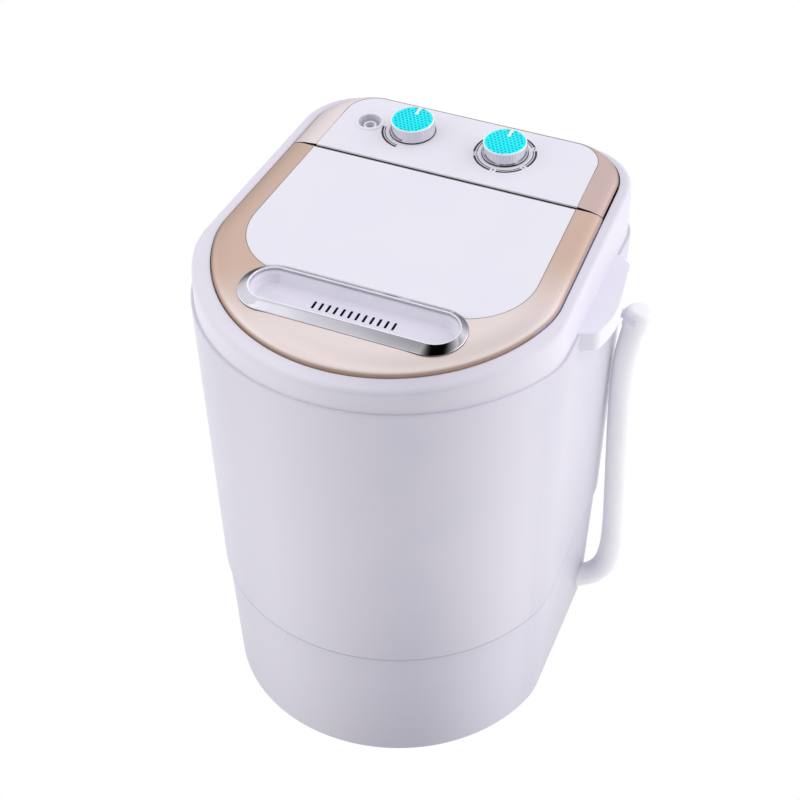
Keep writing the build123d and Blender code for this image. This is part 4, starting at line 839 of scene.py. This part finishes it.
# the lid and panel again as one smooth skin each, sharp only where they have a real edge
skinSettings = {
    "weld": 0.004 * mm, "cut": 4.3 * mm, "cutReach": 0.001 * mm, "levelWeight": 80,
    "cutPieces": ("panel_frame", "control_fascia"), "crownFinishes": ("gold_trim", "gold_panel"),
    "finishes": {
        "lid_frame": ("gold_trim", 20), "panel_frame": ("gold_panel", 20),
        "lid_panel": ("white_plastic", 35), "control_fascia": ("white_plastic", 35),
        "handle_cup": ("cup_plastic", 40),
    },
}
# the lacquered crown is stepped in the model: its shading turns evenly from edge to top;
# each turn is a height in mm and a slope in degrees
crownSettings = {
    "turns": ((-1.0, 34.0), (0.0, 33.0), (2.3, 21.0), (4.4, 10.5), (5.7, 1.0), (9.0, 1.0)),
    "steepest": 0.8, "level": 0.9995, "lowest": -0.2 * mm,
}


def crownSlope(rise):
    turns = crownSettings["turns"]
    for (low, first), (high, second) in zip(turns, turns[1:]):
        if rise <= high * mm:
            return math.radians(first + (second - first) * (rise / mm - low) / (high - low))
    return 0.0


def roundCrown(mesh):
    outward = {}
    crowned = []
    bent = [corner.vector.copy() for corner in mesh.corner_normals]
    for face in mesh.polygons:
        lean = face.normal.dot(topNormal)
        if lean >= crownSettings["level"]:
            for loop in face.loop_indices:
                bent[loop] = face.normal.copy()
        elif lean > crownSettings["steepest"] and inTop(face.center).z > crownSettings["lowest"]:
            crowned.append(face)
            flat = (face.normal - topNormal * lean).normalized()
            for corner in face.vertices:
                outward[corner] = outward.get(corner, Vector()) + flat
    for face in crowned:
        for loop in face.loop_indices:
            corner = mesh.loops[loop].vertex_index
            slope = crownSlope(inTop(mesh.vertices[corner].co).z)
            bent[loop] = topNormal * math.cos(slope) + outward[corner].normalized() * math.sin(slope)
    mesh.normals_split_custom_set(bent)


def smoothSkin(name, finish, sharp):
    shape = bmesh.new()
    shape.from_mesh(nodes[name].data)
    bmesh.ops.remove_doubles(shape, verts=shape.verts, dist=skinSettings["weld"])
    if name in skinSettings["cutPieces"]:
        bmesh.ops.bisect_plane(shape, geom=shape.verts[:] + shape.edges[:] + shape.faces[:],
                               dist=skinSettings["cutReach"], plane_co=onTop(0, 0, skinSettings["cut"]),
                               plane_no=topNormal)
    mesh = bpy.data.meshes.new(name + "Skin")
    shape.to_mesh(mesh)
    shape.free()
    piece = finishPiece(plainObject(name + "Skin", mesh), finish, bodyOf[name],
                        (name,), sharp)
    if finish in skinSettings["crownFinishes"]:
        roundCrown(mesh)
    else:
        level = piece.modifiers.new("levelFaces", "WEIGHTED_NORMAL")
        level.mode = "FACE_AREA"
        level.weight = skinSettings["levelWeight"]
        level.keep_sharp = True
    return piece


def shadeFaces(piece, finish, chosen):
    piece.data.materials.append(finishes[finish])
    place = len(piece.data.materials) - 1
    for face in piece.data.polygons:
        lean = Vector((face.normal.dot(topSide), face.normal.dot(topAlong), face.normal.dot(topNormal)))
        if chosen(inTop(face.center) / mm, lean):
            face.material_index = place


skins = {name: smoothSkin(name, finish, sharp)
         for name, (finish, sharp) in skinSettings["finishes"].items()}
# which faces are walls, by how they lean, and where they are, in mm
wall = {
    "steep": 0.35, "sideways": 0.93, "lengthways": 0.96, "lidFoot": -8, "lidSeam": 104, "panelSeam": 112,
    "slotReach": 60, "slotLow": -8, "slotHigh": -5.4, "slotSteep": 0.5,
}
# the lid's own walls: painted light brown shade in front, a painted lilac grey reflection at the sides
shadeFaces(skins["lid_frame"], "shaded_edge_lacquer",
           lambda spot, lean: abs(lean.z) < wall["steep"] and spot.z > wall["lidFoot"])
shadeFaces(skins["lid_frame"], "side_wall_reflection",
           lambda spot, lean: lean.z < wall["steep"] and abs(lean.x) > wall["sideways"])
# the walls inside the seam and the gap, seen only as dark lines from above
for name in ("lid_frame", "lid_panel"):
    shadeFaces(skins[name], "seam_shade",
               lambda spot, lean: lean.y > wall["lengthways"] and spot.y > wall["lidSeam"])
for name in ("panel_frame", "control_fascia"):
    shadeFaces(skins[name], "seam_shade",
               lambda spot, lean: (lean.y < -wall["lengthways"] and spot.y < wall["panelSeam"]
                                   and spot.z < skinSettings["cut"] / mm))
shadeFaces(skins["panel_frame"], "gap_shade", lambda spot, lean: lean.z < wall["steep"])
shadeFaces(skins["handle_cup"], "slot_shade",
           lambda spot, lean: (abs(spot.x) < wall["slotReach"] and abs(lean.z) < wall["slotSteep"]
                               and wall["slotLow"] < spot.z < wall["slotHigh"]))
print("skins made:", len(skins))

# shadow line along the outline of an inlaid panel; it stops beside the seam, where the lid turns
lineSettings = {
    "width": 0.5 * mm, "overlap": 0.1 * mm, "lift": 0.05 * mm, "seam": 107.8 * mm, "clear": 3.0 * mm,
    "level": 0.97, "depth": 0.4 * mm,
}


def topOutline(piece):
    shape = bmesh.new()
    shape.from_mesh(piece.data)
    lowest = max(inTop(v.co).z for v in shape.verts) - lineSettings["depth"]
    upper = {f for f in shape.faces if f.normal.dot(topNormal) > lineSettings["level"]
             and inTop(f.calc_center_median()).z > lowest}
    after = {}
    for face in upper:
        for loop in face.loops:
            if sum(1 for f in loop.edge.link_faces if f in upper) == 1:
                after[loop.vert.index] = loop.link_loop_next.vert.index
    spots = {v.index: v.co.copy() for v in shape.verts if v.index in after}
    shape.free()
    loops = []
    while after:
        here = next(iter(after))
        chain = []
        while here in after:
            chain.append(spots[here])
            here = after.pop(here)
        loops.append(chain)
    return max(loops, key=lambda chain: sum((q - p).length for p, q in zip(chain, chain[1:])))


def outlineBand(name, chain):
    count = len(chain)
    rings = [[], [], [], []]
    up = topNormal * lineSettings["lift"]
    for i, point in enumerate(chain):
        run = (chain[(i + 1) % count] - chain[i - 1]).normalized()
        outward = run.cross(topNormal)
        beside = abs(inTop(point).y - lineSettings["seam"]) < lineSettings["clear"]
        inner = point - outward * lineSettings["overlap"]
        outer = point + outward * (0.0 if beside else lineSettings["width"])
        for ring, place in zip(rings, (inner - up, inner + up, outer + up, outer - up)):
            ring.append(place)
    return skinRings(name, rings)


for name in ("lid_panel", "control_fascia"):
    band = outlineBand(name + "Line", topOutline(skins[name]))
    finishPiece(plainObject(name + "Line", band), "joint_line", bodyOf[name])
print("joint lines drawn")

# white glowing floor, just under the feet
floorSettings = {"reach": 4.0, "height": -0.5 * mm, "glow": 1.0}
floorEdge = [(x * floorSettings["reach"], y * floorSettings["reach"], floorSettings["height"])
             for x, y in ((-1, -1), (1, -1), (1, 1), (-1, 1))]
floor = plainObject("studioFloor", skinRings("studioFloor", [floorEdge], closeEnd=True))
floor.data.materials.append(startMaterial("whiteFloor", {
    "Base Color": tint("#000000"), "Specular IOR Level": 0.0, "Roughness": 1.0,
    "Emission Color": tint("#FFFFFF"), "Emission Strength": floorSettings["glow"]})[0])

# a weak soft box overhead
boxSettings = {"energy": 2.0, "size": (1.6, 1.2), "place": (-0.2, 0.3, 2.4), "aim": (0, 0, 0.5)}
topBox = bpy.data.lights.new("topBox", "AREA")
topBox.shape = "RECTANGLE"
topBox.size, topBox.size_y = boxSettings["size"]
topBox.energy = boxSettings["energy"]
topLamp = plainObject("topBox", topBox)
topLamp.location = boxSettings["place"]
boxAim = Vector(boxSettings["aim"]) - topLamp.location
topLamp.rotation_euler = boxAim.to_track_quat("-Z", "Y").to_euler()

# a soft sky: bright overhead and at both sides, dim in front, with one dark flag;
# each part is a direction, where it starts and is full, and its level
skySettings = {
    "colour": "#FBFAFF", "front": 0.08,
    "bright": (
        ((0, 0, 1), 0.15, 0.85, 0.72),
        ((0.9125, 0.409, 0.0), 0.4, 0.95, 1.95),
        ((-0.9125, -0.409, 0.0), 0.4, 0.95, 1.3),
        ((-0.409, 0.9125, 0.0), 0.2, 0.9, 0.35),
    ),
    "flag": (
        ((-0.05, 0.33, 0.943), 0.925, 0.972, 0.45),
        ((-0.05, 0.33, 0.943), 0.973, 0.990, 0.55),
    ),
}
world = bpy.data.worlds.new("studioSky")
world.use_nodes = True
sky = world.node_tree
skyPlace = addNode(sky, "ShaderNodeTexCoord").outputs["Generated"]
glow = skySettings["front"]
for direction, low, high, level in skySettings["bright"]:
    glow = calc(sky, "ADD", glow, reading(sky, skyPlace, direction, low, high, 0.0, level))
for direction, low, high, depth in skySettings["flag"]:
    shade = reading(sky, skyPlace, direction, low, high, 0.0, depth)
    glow = calc(sky, "MULTIPLY", glow, calc(sky, "SUBTRACT", 1.0, shade))
sky.links.new(glow, sky.nodes["Background"].inputs["Strength"])
sky.nodes["Background"].inputs["Color"].default_value = tint(skySettings["colour"])
bpy.context.scene.world = world
bpy.context.scene.view_settings.view_transform = "Standard"
print("stage lit")
